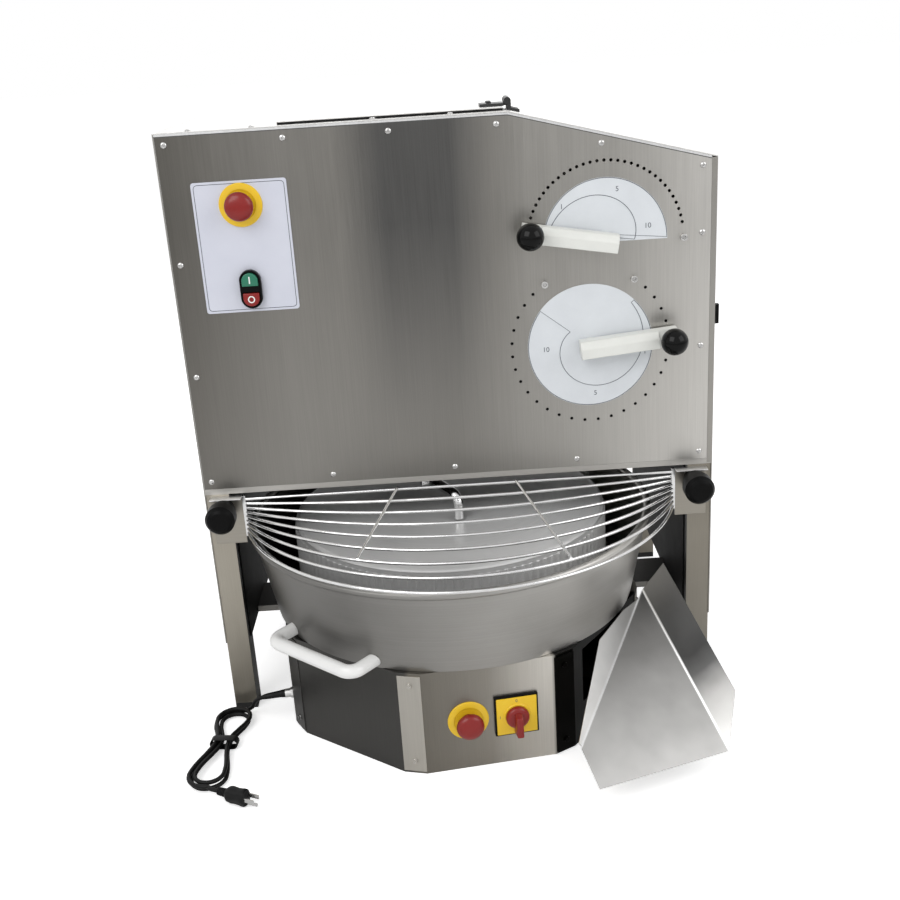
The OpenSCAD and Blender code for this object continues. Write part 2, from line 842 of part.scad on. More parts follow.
module portion_piston() {
  bar_z = upper_z + pitch_r + rack_back;
  color("gainsboro") machine() {
    translate([piston_x, feed_y, feed_z]) rotate([0, 90, 0]) cylinder(r = chamber_r - gap, h = piston_t);
    on_front(0, 0, feed_y + bar_w / 2) linear_extrude(bar_w) {
      translate([piston_x + piston_t / 2, bar_z]) square([upper_x + bar_tail - piston_x, bar_h]);
      translate([upper_x, upper_z + pitch_r]) rack_teeth(-upper_teeth, 2);
    }
  }
}

module control_plate() {
  color("lightsteelblue") machine() on_front(plate_x, plate_z) difference() {
    linear_extrude(plate_t) rounded(plate_w, plate_h, plate_r);
    translate([stop_x - plate_x, stop_z - plate_z, -over]) cylinder(d = stem_d + 2 * gap, h = plate_t + 2 * over);
    for (s = [-1, 1]) translate([twin_x - plate_x, twin_z - plate_z + s * (button_h + button_split) / 2, -over])
      cylinder(d = key_r * 2 + 2 * gap, h = plate_t + 2 * over);
  }
}

// Collar and mushroom of an emergency stop, on a surface at z = 0
module stop_collar() {
  difference() {
    cylinder(d = stop_ring_d, h = ring_t);
    translate([0, 0, -over]) cylinder(d = stem_d + 2 * gap, h = ring_t + 2 * over);
  }
}

module stop_mushroom(deep) {
  translate([0, 0, -deep]) cylinder(d = stem_d, h = deep + ring_t + stem_gap + cap_edge);
  translate([0, 0, ring_t + stem_gap]) rotate_extrude()
    polygon([[0, 0], [mushroom_d / 2 - cap_edge, 0], [mushroom_d / 2, cap_edge], [mushroom_d / 2, cap_h - cap_edge],
             [mushroom_d / 2 - cap_edge, cap_h], [0, cap_h]]);
}

module estop_collar() {
  color("gold") machine() on_front(stop_x, stop_z, -plate_t) stop_collar();
}

module estop_button() {
  color("firebrick") machine() on_front(stop_x, stop_z, -plate_t) stop_mushroom(plate_t + cover_t + stem_l);
}

module twin_bezel() {
  color("#1c1c1c") machine() on_front(twin_x, twin_z, -plate_t) difference() {
    linear_extrude(twin_t) rounded(twin_w, twin_h, twin_r);
    for (s = [-1, 1]) translate([0, s * (button_h + button_split) / 2, 0]) {
      translate([0, 0, twin_t - button_deep])
        linear_extrude(button_deep + over) rounded(button_w + 2 * gap, button_h + 2 * gap, twin_r / 2);
      translate([0, 0, -over]) cylinder(r = key_r + gap, h = twin_t);
    }
  }
}

module push_button(s) {
  machine() on_front(twin_x, twin_z + s * (button_h + button_split) / 2, -plate_t) {
    translate([0, 0, twin_t - button_deep + button_out + gap])
      linear_extrude(button_deep) rounded(button_w, button_h, twin_r / 2);
    translate([0, 0, -cover_t - plate_t - stem_l / 4]) cylinder(r = key_r, h = cover_t + plate_t + stem_l / 4 + twin_t);
  }
}

module start_button() {
  color("seagreen") push_button(1);
}

module stop_button() {
  color("crimson") push_button(-1);
}

module dial_plates() {
  color("white") machine() {
    on_front(upper_x, upper_z) linear_extrude(dial_t) difference() {
      circle(upper_plate_r);
      translate([-upper_plate_r - over, -upper_plate_r - upper_plate_drop - over])
        square([2 * (upper_plate_r + over), upper_plate_r + over]);
      circle(d = shaft_d + 4 * gap);
    }
    on_front(lower_x, lower_z) linear_extrude(dial_t) difference() {
      circle(lower_plate_r);
      circle(d = shaft_d + 4 * gap);
    }
  }
}

stop_places = concat([[upper_x + upper_r * cos(upper_stop), upper_z + upper_r * sin(upper_stop)]],
  [for (a = lower_stops) [lower_x + lower_r * cos(a), lower_z + lower_r * sin(a)]]);

module dial_stop_screws() {
  color("gray") machine() for (p = stop_places) on_front(p[0], p[1]) screw(stop_screw_d, stop_screw_h);
}

// A lever along local +X: arm, hub, shaft through the cover and pinion
module lever(r, turn) {
  arm_l = arm_tail + r + knob_stem_d;
  difference() {
    translate([-arm_tail, -arm_w / 2, arm_gap]) cube([arm_l, arm_w, arm_t]);
    translate([hub_d / 2, -arm_w / 2 + arm_wall, arm_gap - over])
      cube([arm_l - arm_tail - hub_d / 2 - arm_wall, arm_w - 2 * arm_wall, arm_t - arm_wall + over]);
    translate([r, 0, arm_gap]) cylinder(d = knob_stem_d + 2 * gap, h = arm_t + over);
  }
  translate([0, 0, dial_t + gap]) cylinder(d = hub_d - arm_wall, h = arm_gap);
  translate([0, 0, -gear_y - gear_w / 2]) cylinder(d = shaft_d, h = gear_y + gear_w / 2 + arm_gap + arm_t / 2);
  translate([0, 0, -gear_y - gear_w / 2]) rotate([0, 0, turn]) pinion();
}

// The index knob of a lever: ball, stem and pin, drawn back
module index_knob(r) {
  ball_z = arm_gap + arm_t + ball_lift + ball_d / 2;
  translate([r, 0, 0]) {
    translate([0, 0, ball_z]) sphere(d = ball_d);
    translate([0, 0, arm_gap + index_travel + gap]) cylinder(d = knob_stem_d, h = ball_z - arm_gap - index_travel);
    translate([0, 0, gap]) cylinder(d = pin_d, h = ball_z - gap);
  }
}

module upper_lever() {
  color("ivory") machine() on_front(upper_x, upper_z) rotate([0, 0, upper_rest]) lever(upper_r, -upper_rest);
}

module upper_knob() {
  color("#151515") machine() on_front(upper_x, upper_z) rotate([0, 0, upper_rest]) index_knob(upper_r);
}

module lower_lever() {
  color("ivory") machine() on_front(lower_x, lower_z) rotate([0, 0, lower_rest])
    lever(lower_r, 180 / teeth - lower_rest);
}

module lower_knob() {
  color("#151515") machine() on_front(lower_x, lower_z) rotate([0, 0, lower_rest]) index_knob(lower_r);
}

lower_up = pitch_r * lower_sweep * PI / 180;
lower_down = pitch_r * lower_back * PI / 180;
lower_teeth = ceil(lower_up / gear_pitch) + 2;
track_r = drum_r + track_gap;

// Shoe round the back of the drum on a rack that the lower lever raises
module rounding_track() {
  rack_x = lower_x + head_shift - pitch_r;
  post_y = gear_y - setback;
  arm_y0 = post_y - post_d / 2;
  color("whitesmoke") {
    translate([0, 0, track_z0]) rotate([0, 0, track_start]) rotate_extrude(angle = track_span)
      translate([track_r, 0]) square([track_t, track_h]);
    translate([rack_x - post_w, arm_y0, track_arm_z])
      cube([post_w - rack_back, post_d, lower_z + post_top - track_arm_z]);
    translate([rack_x, arm_y0 + post_d, lower_z]) rotate([90, 0, 0]) linear_extrude(post_d)
      rotate([0, 0, 90]) rack_teeth(-lower_teeth, ceil(lower_down / gear_pitch) + 2);
    track_arm(rack_x, arm_y0);
  }
}

// Arm from the post outwards and down to the shoe
module track_arm(rack_x, arm_y0) {
  out_x = sqrt(pow(track_r + track_t, 2) - pow(arm_y0 + post_d, 2)) - gap;
  in_x = sqrt(pow(track_r, 2) - pow(arm_y0, 2)) + gap;
  translate([rack_x - post_w, arm_y0, track_arm_z]) cube([out_x - rack_x + post_w, post_d, track_arm_h]);
  translate([in_x, arm_y0, track_z0 + track_h / 2]) cube([out_x - in_x, post_d, track_arm_z - track_z0 - track_h / 2 + track_arm_h]);
}

module drip_tube() {
  run_z = tube_z1 + tube_bend;
  lug_y = tube_bend + tube_run - lug_t;
  color("gainsboro") translate([tube_x, tube_y, 0]) rotate([0, 0, tube_turn - 90]) {
    difference() {
      union() {
        translate([0, 0, tube_z0]) cylinder(d = tube_d, h = tube_z1 - tube_z0);
        translate([0, tube_bend, tube_z1]) rotate([0, -90, 0]) rotate([0, 0, -90]) rotate_extrude(angle = 90)
          translate([tube_bend, 0]) circle(d = tube_d);
        translate([0, tube_bend, run_z]) rotate([-90, 0, 0]) cylinder(d = tube_d, h = tube_run);
        translate([-lug_w / 2, lug_y, run_z - tube_d / 2]) cube([lug_w, lug_t, head_bottom - run_z + tube_d / 2]);
      }
      translate([0, 0, tube_z0 - over]) cylinder(d = tube_bore, h = tube_z1 - tube_z0);
    }
  }
}

guard_y = cover_t - gap - guard_t;
wire_y = guard_y + guard_t / 2;
wire_half = guard_half - end_bar_w / 2 - end_bar_gap;
end_bar_z = wire_z - (wires - 1) * wire_drop - wire_d;
function wire_r(k) = (wire_half * wire_half + pow(k * wire_step, 2)) / (2 * k * wire_step);
function wire_mid(k) = wire_y - k * wire_step + wire_r(k);
function wire_at(k, x) = [x, wire_mid(k) - sqrt(pow(wire_r(k), 2) - x * x), wire_z - k * wire_drop];

module guard_wires() {
  color("gainsboro") machine() {
    rod([-wire_half, wire_y, wire_z], [wire_half, wire_y, wire_z], wire_d);
    for (k = [1:wires - 1]) let(a = asin(wire_half / wire_r(k)))
      translate([0, wire_mid(k), wire_z - k * wire_drop]) rotate([0, 0, -90 - a])
        rotate_extrude(angle = 2 * a) translate([wire_r(k), 0]) circle(d = wire_d);
    for (s = [-1, 1]) translate([s * wire_half - end_bar_w / 2, wire_y - end_bar_d / 2, end_bar_z])
      cube([end_bar_w, end_bar_d, guard_top - end_bar_z]);
    for (i = [0, 1]) {
      lift = [0, 0, wire_d * stay_lift_share];
      rod([stay_x[i], wire_y, wire_z] + lift, wire_at(stay_wire[i], stay_end_x[i]) + lift, wire_d);
    }
  }
}

module guard_plates() {
  color("silver") machine() for (s = [-1, 1]) difference() {
    union() {
      translate([s > 0 ? guard_half : -guard_out, guard_y, guard_z0])
        cube([guard_out - guard_half, guard_t, guard_top - guard_z0]);
      translate([s > 0 ? guard_half : -guard_out, guard_y - guard_lip, guard_top - guard_t / 2])
        cube([guard_out - guard_half, guard_lip + guard_t, guard_t / 2]);
    }
    on_front(s * clamp_x, clamp_z, guard_y + guard_t + over) cylinder(d = stud_d + 2 * run, h = guard_t + 2 * over);
    on_front(s * clamp_x, clamp_z, guard_y - gap / 2) cylinder(d = collar_d + 2 * gap, h = guard_lip + over);
  }
}

// A clamp knob: stud, stepped collar and grip
module clamp_knob(s) {
  color("#141414") machine() on_front(s * clamp_x, clamp_z, guard_y - gap) {
    translate([0, 0, -stud_l]) cylinder(d = stud_d, h = stud_l + over);
    rotate_extrude() polygon([[0, 0], [collar_d / 2, 0], [collar_d / 2, collar_share * clamp_l],
      [step_d / 2, collar_share * clamp_l], [step_d / 2, (collar_share + step_share) * clamp_l],
      [clamp_d / 2 - clamp_edge / 2, (collar_share + step_share) * clamp_l],
      [clamp_d / 2, (collar_share + step_share) * clamp_l + clamp_edge / 2],
      [clamp_d / 2, clamp_l - clamp_edge], [clamp_d / 2 - clamp_edge / 2, clamp_l - clamp_edge / 4],
      [clamp_d / 2 - clamp_edge, clamp_l], [0, clamp_l]]);
  }
}

module guard_knob_left() {
  clamp_knob(-1);
}

module guard_knob_right() {
  clamp_knob(1);
}

bowl_z = base_h + gap;
bowl_lean = (rim_r - foot_r) / (rim_z - bowl_z);

// Hole that the dough leaves through, in the bowl's floor and the base's top
module exit_cut(z, h) {
  rotate([0, 0, base_yaw + 45 - 90]) translate([exit_r, -exit_w / 2, z]) cube([exit_d, exit_w, h]);
}

module bowl() {
  color("darkgray") difference() {
    rotate_extrude() {
      polygon([[bowl_hole_r, bowl_z], [foot_r, bowl_z], [rim_r, rim_z], [rim_r - bowl_t, rim_z],
               [foot_r - bowl_t + bowl_lean * bowl_t, bowl_z + bowl_t], [bowl_hole_r, bowl_z + bowl_t]]);
      translate([rim_r - bowl_t / 2, rim_z]) circle(bead_r);
    }
    exit_cut(bowl_z - over, bowl_t + 2 * over);
  }
}

module bowl_handle() {
  start = foot_r - grip_d;
  far = foot_r + grip_out;
  color("white") difference() {
    rotate([0, 0, grip_az - 90]) translate([0, 0, grip_z]) {
      for (s = [-1, 1]) {
        translate([s * (grip_half + grip_bend), start, 0]) rotate([-90, 0, 0])
          cylinder(d = grip_d, h = far - grip_bend - start);
        translate([s * grip_half, far - grip_bend, 0]) rotate([0, 0, s > 0 ? 0 : 90])
          rotate_extrude(angle = 90) translate([grip_bend, 0]) circle(d = grip_d);
      }
      translate([-grip_half, far, 0]) rotate([0, 90, 0]) cylinder(d = grip_d, h = 2 * grip_half);
    }
    rotate_extrude() polygon([[0, bowl_z - over], [foot_r + fit - bowl_lean * over, bowl_z - over],
      [rim_r + fit, rim_z], [0, rim_z]]);
  }
}

spindle_z0 = base_h - top_t - housing_h;

module rounding_drum() {
  skirt_top = drum_z - edge_r - flute_d;
  flute_a = 360 / flutes / 4;
  edge_mid = drum_r - flute_d - edge_r;
  color("gainsboro") {
    translate([0, 0, spindle_z0 + gap]) cylinder(d = spindle_d, h = drum_z + drum_rise - spindle_z0 - drum_t);
    rotate_extrude() {
      polygon([[0, drum_z + drum_rise], [edge_mid, drum_z], [edge_mid, drum_z - drum_t],
               [0, drum_z + drum_rise - drum_t]]);
      translate([edge_mid, drum_z - edge_r]) circle(edge_r);
    }
    translate([0, 0, drum_z + drum_rise - drum_t - nut_h]) cylinder(d = nut_d, h = nut_h + drum_t / 2);
    translate([0, 0, skirt_top - skirt_h]) linear_extrude(skirt_h) difference() {
      polygon([for (i = [0:flutes - 1]) let(a = i * 360 / flutes)
        each [polar(drum_r - flute_d, a - flute_a), polar(drum_r, a), polar(drum_r - flute_d, a + flute_a)]]);
      circle(drum_r - skirt_t);
    }
    translate([0, 0, skirt_top - over]) rotate_extrude()
      translate([drum_r - skirt_t, 0]) square([skirt_t - flute_d - fit, edge_r + over]);
  }
}

module spindle_housing() {
  color("slategray") translate([0, 0, spindle_z0]) difference() {
    cylinder(d = housing_d, h = housing_h);
    translate([0, 0, -over]) cylinder(d = spindle_d + 2 * run, h = housing_h + 2 * over);
  }
}

module drive_motor() {
  color("steelblue") {
    translate([0, 0, spindle_z0 - drive_h]) cylinder(d = drive_d, h = drive_h);
    translate([-box_w / 2, -drive_d / 2 - box_d / 2, spindle_z0 - drive_h / 2 - box_h / 2]) cube([box_w, box_d, box_h]);
  }
}

// Plan of the base: an octagon with its corners cut for the strips
module base_plan(d) {
  rotate(base_yaw) intersection() {
    rotate(180 / 8) circle(r = (base_a - d) * circum, $fn = 8);
    circle(r = (strip_a - d) * circum, $fn = 8);
  }
}

module base_panels() {
  color("dimgray") difference() {
    union() {
      linear_extrude(base_h) difference() {
        base_plan(0);
        base_plan(panel_t);
      }
      translate([0, 0, base_h - top_t]) linear_extrude(top_t) base_plan(panel_t / 2);
      linear_extrude(panel_t) base_plan(panel_t / 2);
    }
    translate([0, 0, base_h - top_t - over]) cylinder(d = spindle_d + 4 * gap, h = top_t + 2 * over);
    exit_cut(base_h - top_t - over, top_t + 2 * over);
    base_face(1, 0, 0) translate([-exit_open_w / 2, exit_open_z0, -panel_t - over])
      cube([exit_open_w, exit_open_h, panel_t + 2 * over]);
    base_face(0, base_stop_x, base_stop_z) translate([0, 0, -panel_t - over])
      cylinder(d = stem_d + 2 * gap, h = panel_t + 2 * over);
    base_face(0, switch_x, switch_z) translate([0, 0, -panel_t - over])
      cylinder(d = switch_stem_d + 2 * run, h = panel_t + 2 * over);
  }
}

module base_corner_strips() {
  strip_h = base_h - 2 * strip_end;
  color("silver") for (i = [0:7]) rotate([0, 0, base_yaw + 180 / 8 + i * 45]) translate([0, -strip_a, strip_end]) {
    translate([-strip_w / 2, -strip_t, 0]) cube([strip_w, strip_t, strip_h]);
    for (z = [strip_screw_z, strip_h - strip_screw_z]) on_front(0, z, -strip_t) cylinder(d = screw_d, h = screw_h);
  }
}

module base_estop_collar() {
  color("gold") base_face(0, base_stop_x, base_stop_z) stop_collar();
}

module base_estop_button() {
  color("firebrick") base_face(0, base_stop_x, base_stop_z) stop_mushroom(panel_t + stem_l);
}

module main_switch_plate() {
  color("gold") base_face(0, switch_x, switch_z) difference() {
    union() {
      linear_extrude(switch_t) rounded(switch_side, switch_side, switch_r);
      cylinder(d = bezel_d, h = switch_t + bezel_t);
    }
    translate([0, 0, -over]) cylinder(d = switch_stem_d + 2 * run, h = switch_t + bezel_t + 2 * over);
  }
}

module main_switch_handle() {
  z0 = switch_t + bezel_t + gap;
  color("firebrick") base_face(0, switch_x, switch_z) {
    translate([0, 0, -panel_t - switch_t]) cylinder(d = switch_stem_d, h = z0 + panel_t + switch_t + handle_t);
    translate([0, 0, z0]) cylinder(d = handle_d, h = handle_t);
    translate([-handle_w / 2, -handle_l / 2, z0]) cube([handle_w, handle_l, handle_t + handle_h]);
  }
}

module cable_gland() {
  color("gainsboro") base_face(-2, gland_x, gland_z) {
    cylinder(d = gland_hex_d, h = gland_hex_l, $fn = 6);
    cylinder(d = gland_d, h = gland_hex_l + gland_l);
  }
}

// Sweep of a tube along a list of points: rings square to the path, flat ends
function unit(v) = v / norm(v);
function heading(p, i) = unit(p[min(i + 1, len(p) - 1)] - p[max(i - 1, 0)]);
function side_of(t) = unit(cross(abs(t[2]) > 0.9 ? [1, 0, 0] : [0, 0, 1], t));
function ring(c, t, r, n) = let(a = side_of(t), b = cross(t, a))
  [for (j = [0:n - 1]) c + r * (cos(360 * j / n) * a + sin(360 * j / n) * b)];
function tube_points(p, r, n) = [for (i = [0:len(p) - 1]) each ring(p[i], heading(p, i), r, n)];
function tube_faces(m, n) = concat(
  [for (i = [0:m - 2], j = [0:n - 1]) let(a = i * n + j, b = i * n + (j + 1) % n) [a, b, b + n]],
  [for (i = [0:m - 2], j = [0:n - 1]) let(a = i * n + j, b = i * n + (j + 1) % n) [a, b + n, a + n]],
  [for (j = [1:n - 2]) [0, j + 1, j]],
  [for (j = [1:n - 2]) [(m - 1) * n, (m - 1) * n + j, (m - 1) * n + j + 1]]);

module swept(p, d, n) {
  polyhedron(tube_points(p, d / 2, n), [for (f = tube_faces(len(p), n)) [f[2], f[1], f[0]]]);
}

// The hank: loops spiral in on the floor, climb along a run and spiral out on top
hank_l = norm(hank_b - hank_a);
hank_u = (hank_b - hank_a) / hank_l;
hank_n = [-hank_u[1], hank_u[0]];
hank_end = 2 * hank_turns + 0.5;
function loop_r(t) = t < hank_turns ? hank_r - hank_step * t
  : t < hank_turns + 0.5 ? hank_r - hank_step * hank_turns
  : hank_r - hank_step * (hank_end - t);
function pinch(s) = s <= 0 || s >= 1 ? 0 : (1 - cos(360 * (s < hank_tie_share ? s / hank_tie_share / 2
  : 0.5 + (s - hank_tie_share) / (1 - hank_tie_share) / 2))) / 2;
function on_loop(f, r) =
  f < 0.1 ? [-r * cos(900 * f), -r * sin(900 * f)]
  : f < 0.4 ? [(f - 0.1) / 0.3 * hank_l, -r]
  : f < 0.6 ? [hank_l + r * sin(900 * (f - 0.4)), -r * cos(900 * (f - 0.4))]
  : f < 0.9 ? [hank_l - (f - 0.6) / 0.3 * hank_l, r]
  : [-r * sin(900 * (f - 0.9)), r * cos(900 * (f - 0.9))];
function ease(x) = x <= 0 ? 0 : x >= 1 ? 1 : x * x * (3 - 2 * x);
function climb(t) = hank_layer * ease((t - hank_turns - 0.1) / 0.3);
function hank_at(t) = let(q = on_loop(t - floor(t + 0.0001), loop_r(t)), w = q[1] - sign(q[1]) * hank_waist * pinch(q[0] / hank_l),
  g = hank_a + q[0] * hank_u + w * hank_n) [g[0], g[1], lay_z + climb(t)];
hank_turned = [for (i = [0:hank_end * hank_rings]) hank_at(i / hank_rings)];
hank_stub = lead_stub * [hank_n[0], hank_n[1], 0];
hank_path = concat([hank_turned[0] + hank_stub], hank_turned, [hank_turned[len(hank_turned) - 1] + hank_stub]);
far_apart = hank_rings / 3;
hank_near = min([for (i = [0:len(hank_path) - 1], j = [i + far_apart:len(hank_path) - 1])
  norm(hank_path[i] - hank_path[j])]) - cord_d;
echo(least_gap_in_hank = hank_near);

gland_at = gland_hex_l + gland_l;
face_turn = base_yaw - 90;
gland_tip = [for (i = [0, 1]) (base_a + gland_at) * [sin(face_turn), -cos(face_turn)][i]
  + gland_x * [cos(face_turn), sin(face_turn)][i]];
gland_out = [sin(face_turn), -cos(face_turn)];
hank_in = hank_path[0];
hank_out = hank_path[len(hank_path) - 1];
function level(p, z) = [p[0], p[1], z];
lead_a = concat([level(gland_tip, gland_z), level(gland_tip + cord_d * gland_out, gland_z)], lead_in,
  [hank_in + cord_d * level(hank_n, 0), hank_in]);
plug_dir = [cos(plug_turn), sin(plug_turn)];
lead_b = concat([hank_out, hank_out + cord_d * level(hank_n, 0)], lead_out,
  [plug_start - cord_d * level(plug_dir, 0), plug_start]);

module power_cord() {
  color("#101010") {
    swept(lead_a, cord_d, cord_sides);
    swept(lead_b, cord_d, cord_sides);
  }
}

module cord_hank() {
  color("#101010") swept(hank_path, cord_d, hank_sides);
}

module cord_tie() {
  room_w = 2 * (hank_r - hank_waist + cord_d / 2 + tie_room) + cord_d / 4;
  room_h = hank_layer + cord_d + 2 * tie_room;
  mid = hank_a + hank_tie_share * (hank_b - hank_a);
  color("#0c0c0c") translate([mid[0], mid[1], lay_z + hank_layer / 2])
    rotate([0, 0, atan2(hank_u[1], hank_u[0])]) rotate([90, 0, 90])
      translate([0, 0, -tie_w / 2]) linear_extrude(tie_w) difference() {
        square([room_w + 2 * tie_wall, room_h + 2 * tie_wall], center = true);
        square([room_w, room_h], center = true);
      }
}

module on_plug() {
  translate(plug_start) rotate([0, 0, plug_turn]) rotate([0, 90, 0]) children();
}

module plug() {
  color("#141414") on_plug() {
    cylinder(d = plug_neck_d, h = plug_neck_l + over);
    translate([0, 0, plug_neck_l]) cylinder(d = plug_d, h = plug_l);
  }
}

module plug_pins() {
  color("silver") on_plug() translate([0, 0, plug_neck_l + plug_l]) {
    for (s = [-1, 1]) translate([-blade_w / 2 - blade_t, s * blade_gap / 2 - blade_t / 2, 0])
      cube([blade_w, blade_t, blade_l]);
    translate([earth_drop, 0, 0]) cylinder(d = earth_d, h = blade_l);
  }
}

module chute_frame() {
  translate([chute_x, chute_y, chute_z]) rotate([0, 0, chute_yaw]) rotate([chute_slope, 0, 0]) children();
}

// A folded sheet: its floor and right side are drawn along the slope and trimmed to
// their outline, and its left side stands on the slanting fold
module chute() {
  side_x = chute_side * cos(chute_flare);
  side_z = chute_side * sin(chute_flare);
  edge_x = chute_t * sin(chute_flare);
  edge_z = chute_t * cos(chute_flare);
  fold = chute_t * tan(chute_flare / 2);
  side_front = chute_side * chute_front_share;
  long = chute_l + chute_top_extra;
  rise = chute_l - chute_left_l;
  run_l = norm([chute_w, rise]);
  color("silver") chute_frame() {
    intersection() {
      translate([0, long, 0]) rotate([90, 0, 0]) linear_extrude(long)
        polygon([[0, 0], [chute_w, 0], [chute_w + side_x, side_z], [chute_w + side_x - edge_x, side_z + edge_z],
                 [chute_w - fold, chute_t], [0, chute_t]]);
      translate([0, 0, -over]) linear_extrude(chute_side + 2 * over)
        polygon([[0, 0], [chute_w, 0], [chute_w + side_x, side_front], [chute_w + side_x, long],
                 [chute_w, chute_l], [0, chute_left_l]]);
    }
    translate([0, chute_left_l, chute_t / 3]) rotate([0, 0, atan2(rise, chute_w)]) rotate([chute_flare, 0, 0])
      linear_extrude(chute_t)
        polygon([[chute_t, -chute_t / 2], [run_l * chute_tail_at, -chute_t / 2],
                 [run_l * chute_heel_at, chute_side * chute_heel_share],
                 [run_l * chute_peak_at, chute_side * chute_peak_share],
                 [chute_t, chute_side * chute_toe_share]]);
  }
}

// A gusset under the chute's upper end, standing against the base
module chute_bracket() {
  top = chute_l - brace_back;
  color("silver") difference() {
    chute_frame() translate([chute_w - brace_in, 0, 0]) rotate([90, 0, 90]) linear_extrude(brace_t)
      polygon([[top - brace_l, 0], [top, 0], [top, -brace_drop], [top - brace_toe, -brace_drop]]);
    translate([0, 0, -over]) linear_extrude(base_h + 2 * over) base_plan(-fit);
  }
}

module side_latch() {
  color("#181818") machine() translate([half_w, latch_y, latch_z]) rotate([0, 90, 0]) {
    translate([0, 0, -sheet_t - gap]) cylinder(d = latch_stem_d, h = sheet_t + latch_l);
    translate([0, 0, gap]) cylinder(d = latch_d, h = latch_l - gap);
    translate([-latch_d / 2, -latch_grip / 2, latch_l / 2]) cube([latch_d, latch_grip, latch_l]);
  }
}

front_legs();
rear_legs();
leg_feet();
frame_rails();
tie_plates();
skirt_liners();
head_floor();
left_side_panel();
right_side_panel();
rear_panel();
roof_sheet();
front_cover();
cover_screws();
hopper();
lid_gasket();
roof_hinges();
lid_hinges();
hopper_lid();
feed_auger();
auger_motor();
portion_piston();
control_plate();
estop_collar();
estop_button();
twin_bezel();
start_button();
stop_button();
dial_plates();
dial_stop_screws();
upper_lever();
upper_knob();
lower_lever();
lower_knob();
rounding_track();
drip_tube();
guard_wires();
guard_plates();
guard_knob_left();
guard_knob_right();
bowl();
bowl_handle();
rounding_drum();
spindle_housing();
drive_motor();
base_panels();
base_corner_strips();
base_estop_collar();
base_estop_button();
main_switch_plate();
main_switch_handle();
cable_gland();
power_cord();
cord_hank();
cord_tie();
plug();
plug_pins();
chute();
chute_bracket();
side_latch();
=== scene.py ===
"""Dressed scene of a dough divider and rounder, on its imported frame.

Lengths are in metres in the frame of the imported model: the drum turns about Z,
the floor is z = 0 and the front faces -Y. Sizes of single pieces are in millimetres.
"""
import logging
import math
from dataclasses import dataclass
from enum import Enum
from typing import Callable, Optional, Sequence, Union

import bmesh
import bpy
from mathutils import Matrix, Vector


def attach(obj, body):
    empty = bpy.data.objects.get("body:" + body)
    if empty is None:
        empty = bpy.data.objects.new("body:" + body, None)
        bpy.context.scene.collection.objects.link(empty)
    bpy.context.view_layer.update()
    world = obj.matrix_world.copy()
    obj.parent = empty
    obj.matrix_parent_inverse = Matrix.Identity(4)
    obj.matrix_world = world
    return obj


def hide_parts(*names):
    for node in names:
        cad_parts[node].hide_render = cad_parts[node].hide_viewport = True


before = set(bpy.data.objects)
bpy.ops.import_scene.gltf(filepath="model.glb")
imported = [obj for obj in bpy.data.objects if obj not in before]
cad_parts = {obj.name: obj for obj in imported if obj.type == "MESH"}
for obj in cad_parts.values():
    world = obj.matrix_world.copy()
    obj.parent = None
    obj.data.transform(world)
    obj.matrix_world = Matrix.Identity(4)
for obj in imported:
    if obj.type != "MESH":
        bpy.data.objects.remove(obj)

LOG = logging.getLogger("divider_rounder")
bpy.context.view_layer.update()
MM = 0.001
HEAD_SHIFT = 16 * MM
SETBACK = 85 * MM
ROOF_Z = 900 * MM
GUARD_TOP = 370 * MM
BASE_YAW = math.radians(8.3)
BASE_APOTHEM = 277 * MM
BASE_FACES = 8
EIGHTH = 2 * math.pi / BASE_FACES
RIGHT_ANGLE = math.pi / 2

# On the head's front, in millimetres: the dials' middles, and the control plate with its emergency stop
UPPER_DIAL = (225.8, 718.0)
LOWER_DIAL = (202.4, 568.0)
UPPER_STOP_R = 109.5
LOWER_INDEX_R = 113.0
PANEL_X = -274.0
PANEL_T = 2.0
PANEL_STOP_Z = 799.0

# Controls on the base's front face, in millimetres
BASE_STOP_X = -32.0
BASE_SWITCH_X = 38.0
BASE_CONTROLS_Z = 80.0

# Ends of the ramps of painted reflection and shade: across the cover, across the machine, up the chute and
# round the base
COVER_ENDS = (-0.37, 0.40)
SWING_ENDS = (-0.5, 0.5)
CHUTE_ENDS = (0.0, 0.3)
ROUND_ENDS = (-180.0, 180.0)

Colour = tuple[float, float, float, float]
Place = tuple[float, float, float]
Pair = tuple[float, float]
Profile = tuple[Pair, ...]
Stops = tuple[tuple[float, Colour], ...]


def tone(red: float, green: float, blue: float) -> Colour:
    """Turn a display colour into the linear one that shaders take.

    Args:
        red: Red, 0 to 255.
        green: Green, 0 to 255.
        blue: Blue, 0 to 255.

    Returns:
        The linear colour with an alpha of 1.
    """
    parts = [v / 255 for v in (red, green, blue)]
    flat = [v / 12.92 if v <= 0.04045 else ((v + 0.055) / 1.055) ** 2.4 for v in parts]
    return (flat[0], flat[1], flat[2], 1.0)


def grey(value: float, warm: float = 0.0) -> Colour:
    """Give a display grey, warmer by a few steps where asked."""
    return tone(value + warm / 2, value, value - warm)


def band(tones: Sequence[Pair], ends: Pair, warm: float = 5.0, pale: float = 100.0) -> Stops:
    """Turn places and greys into the stops of a ramp.

    Args:
        tones: Pairs of a place and a grey of 0 to 255.
        ends: Places of the ramp's start and end.
        warm: How far the lighter greys lean to yellow; the darker ones lean a quarter of it.
        pale: Grey above which a tone counts as light.

    Returns:
        The stops with their places from 0 to 1.
    """
    low, high = ends
    return tuple(((x - low) / (high - low), grey(v, warm if v > pale else warm / 4)) for x, v in tones)


def even(cells: float) -> Place:
    """Give the same noise scale along all the axes."""
    return (cells, cells, cells)


def round_place(middle: Pair, radius: float, angle: float) -> Pair:
    """Give a place at a distance and an angle, in degrees, from a middle."""
    turn = math.radians(angle)
    return (middle[0] + radius * math.cos(turn), middle[1] + radius * math.sin(turn))


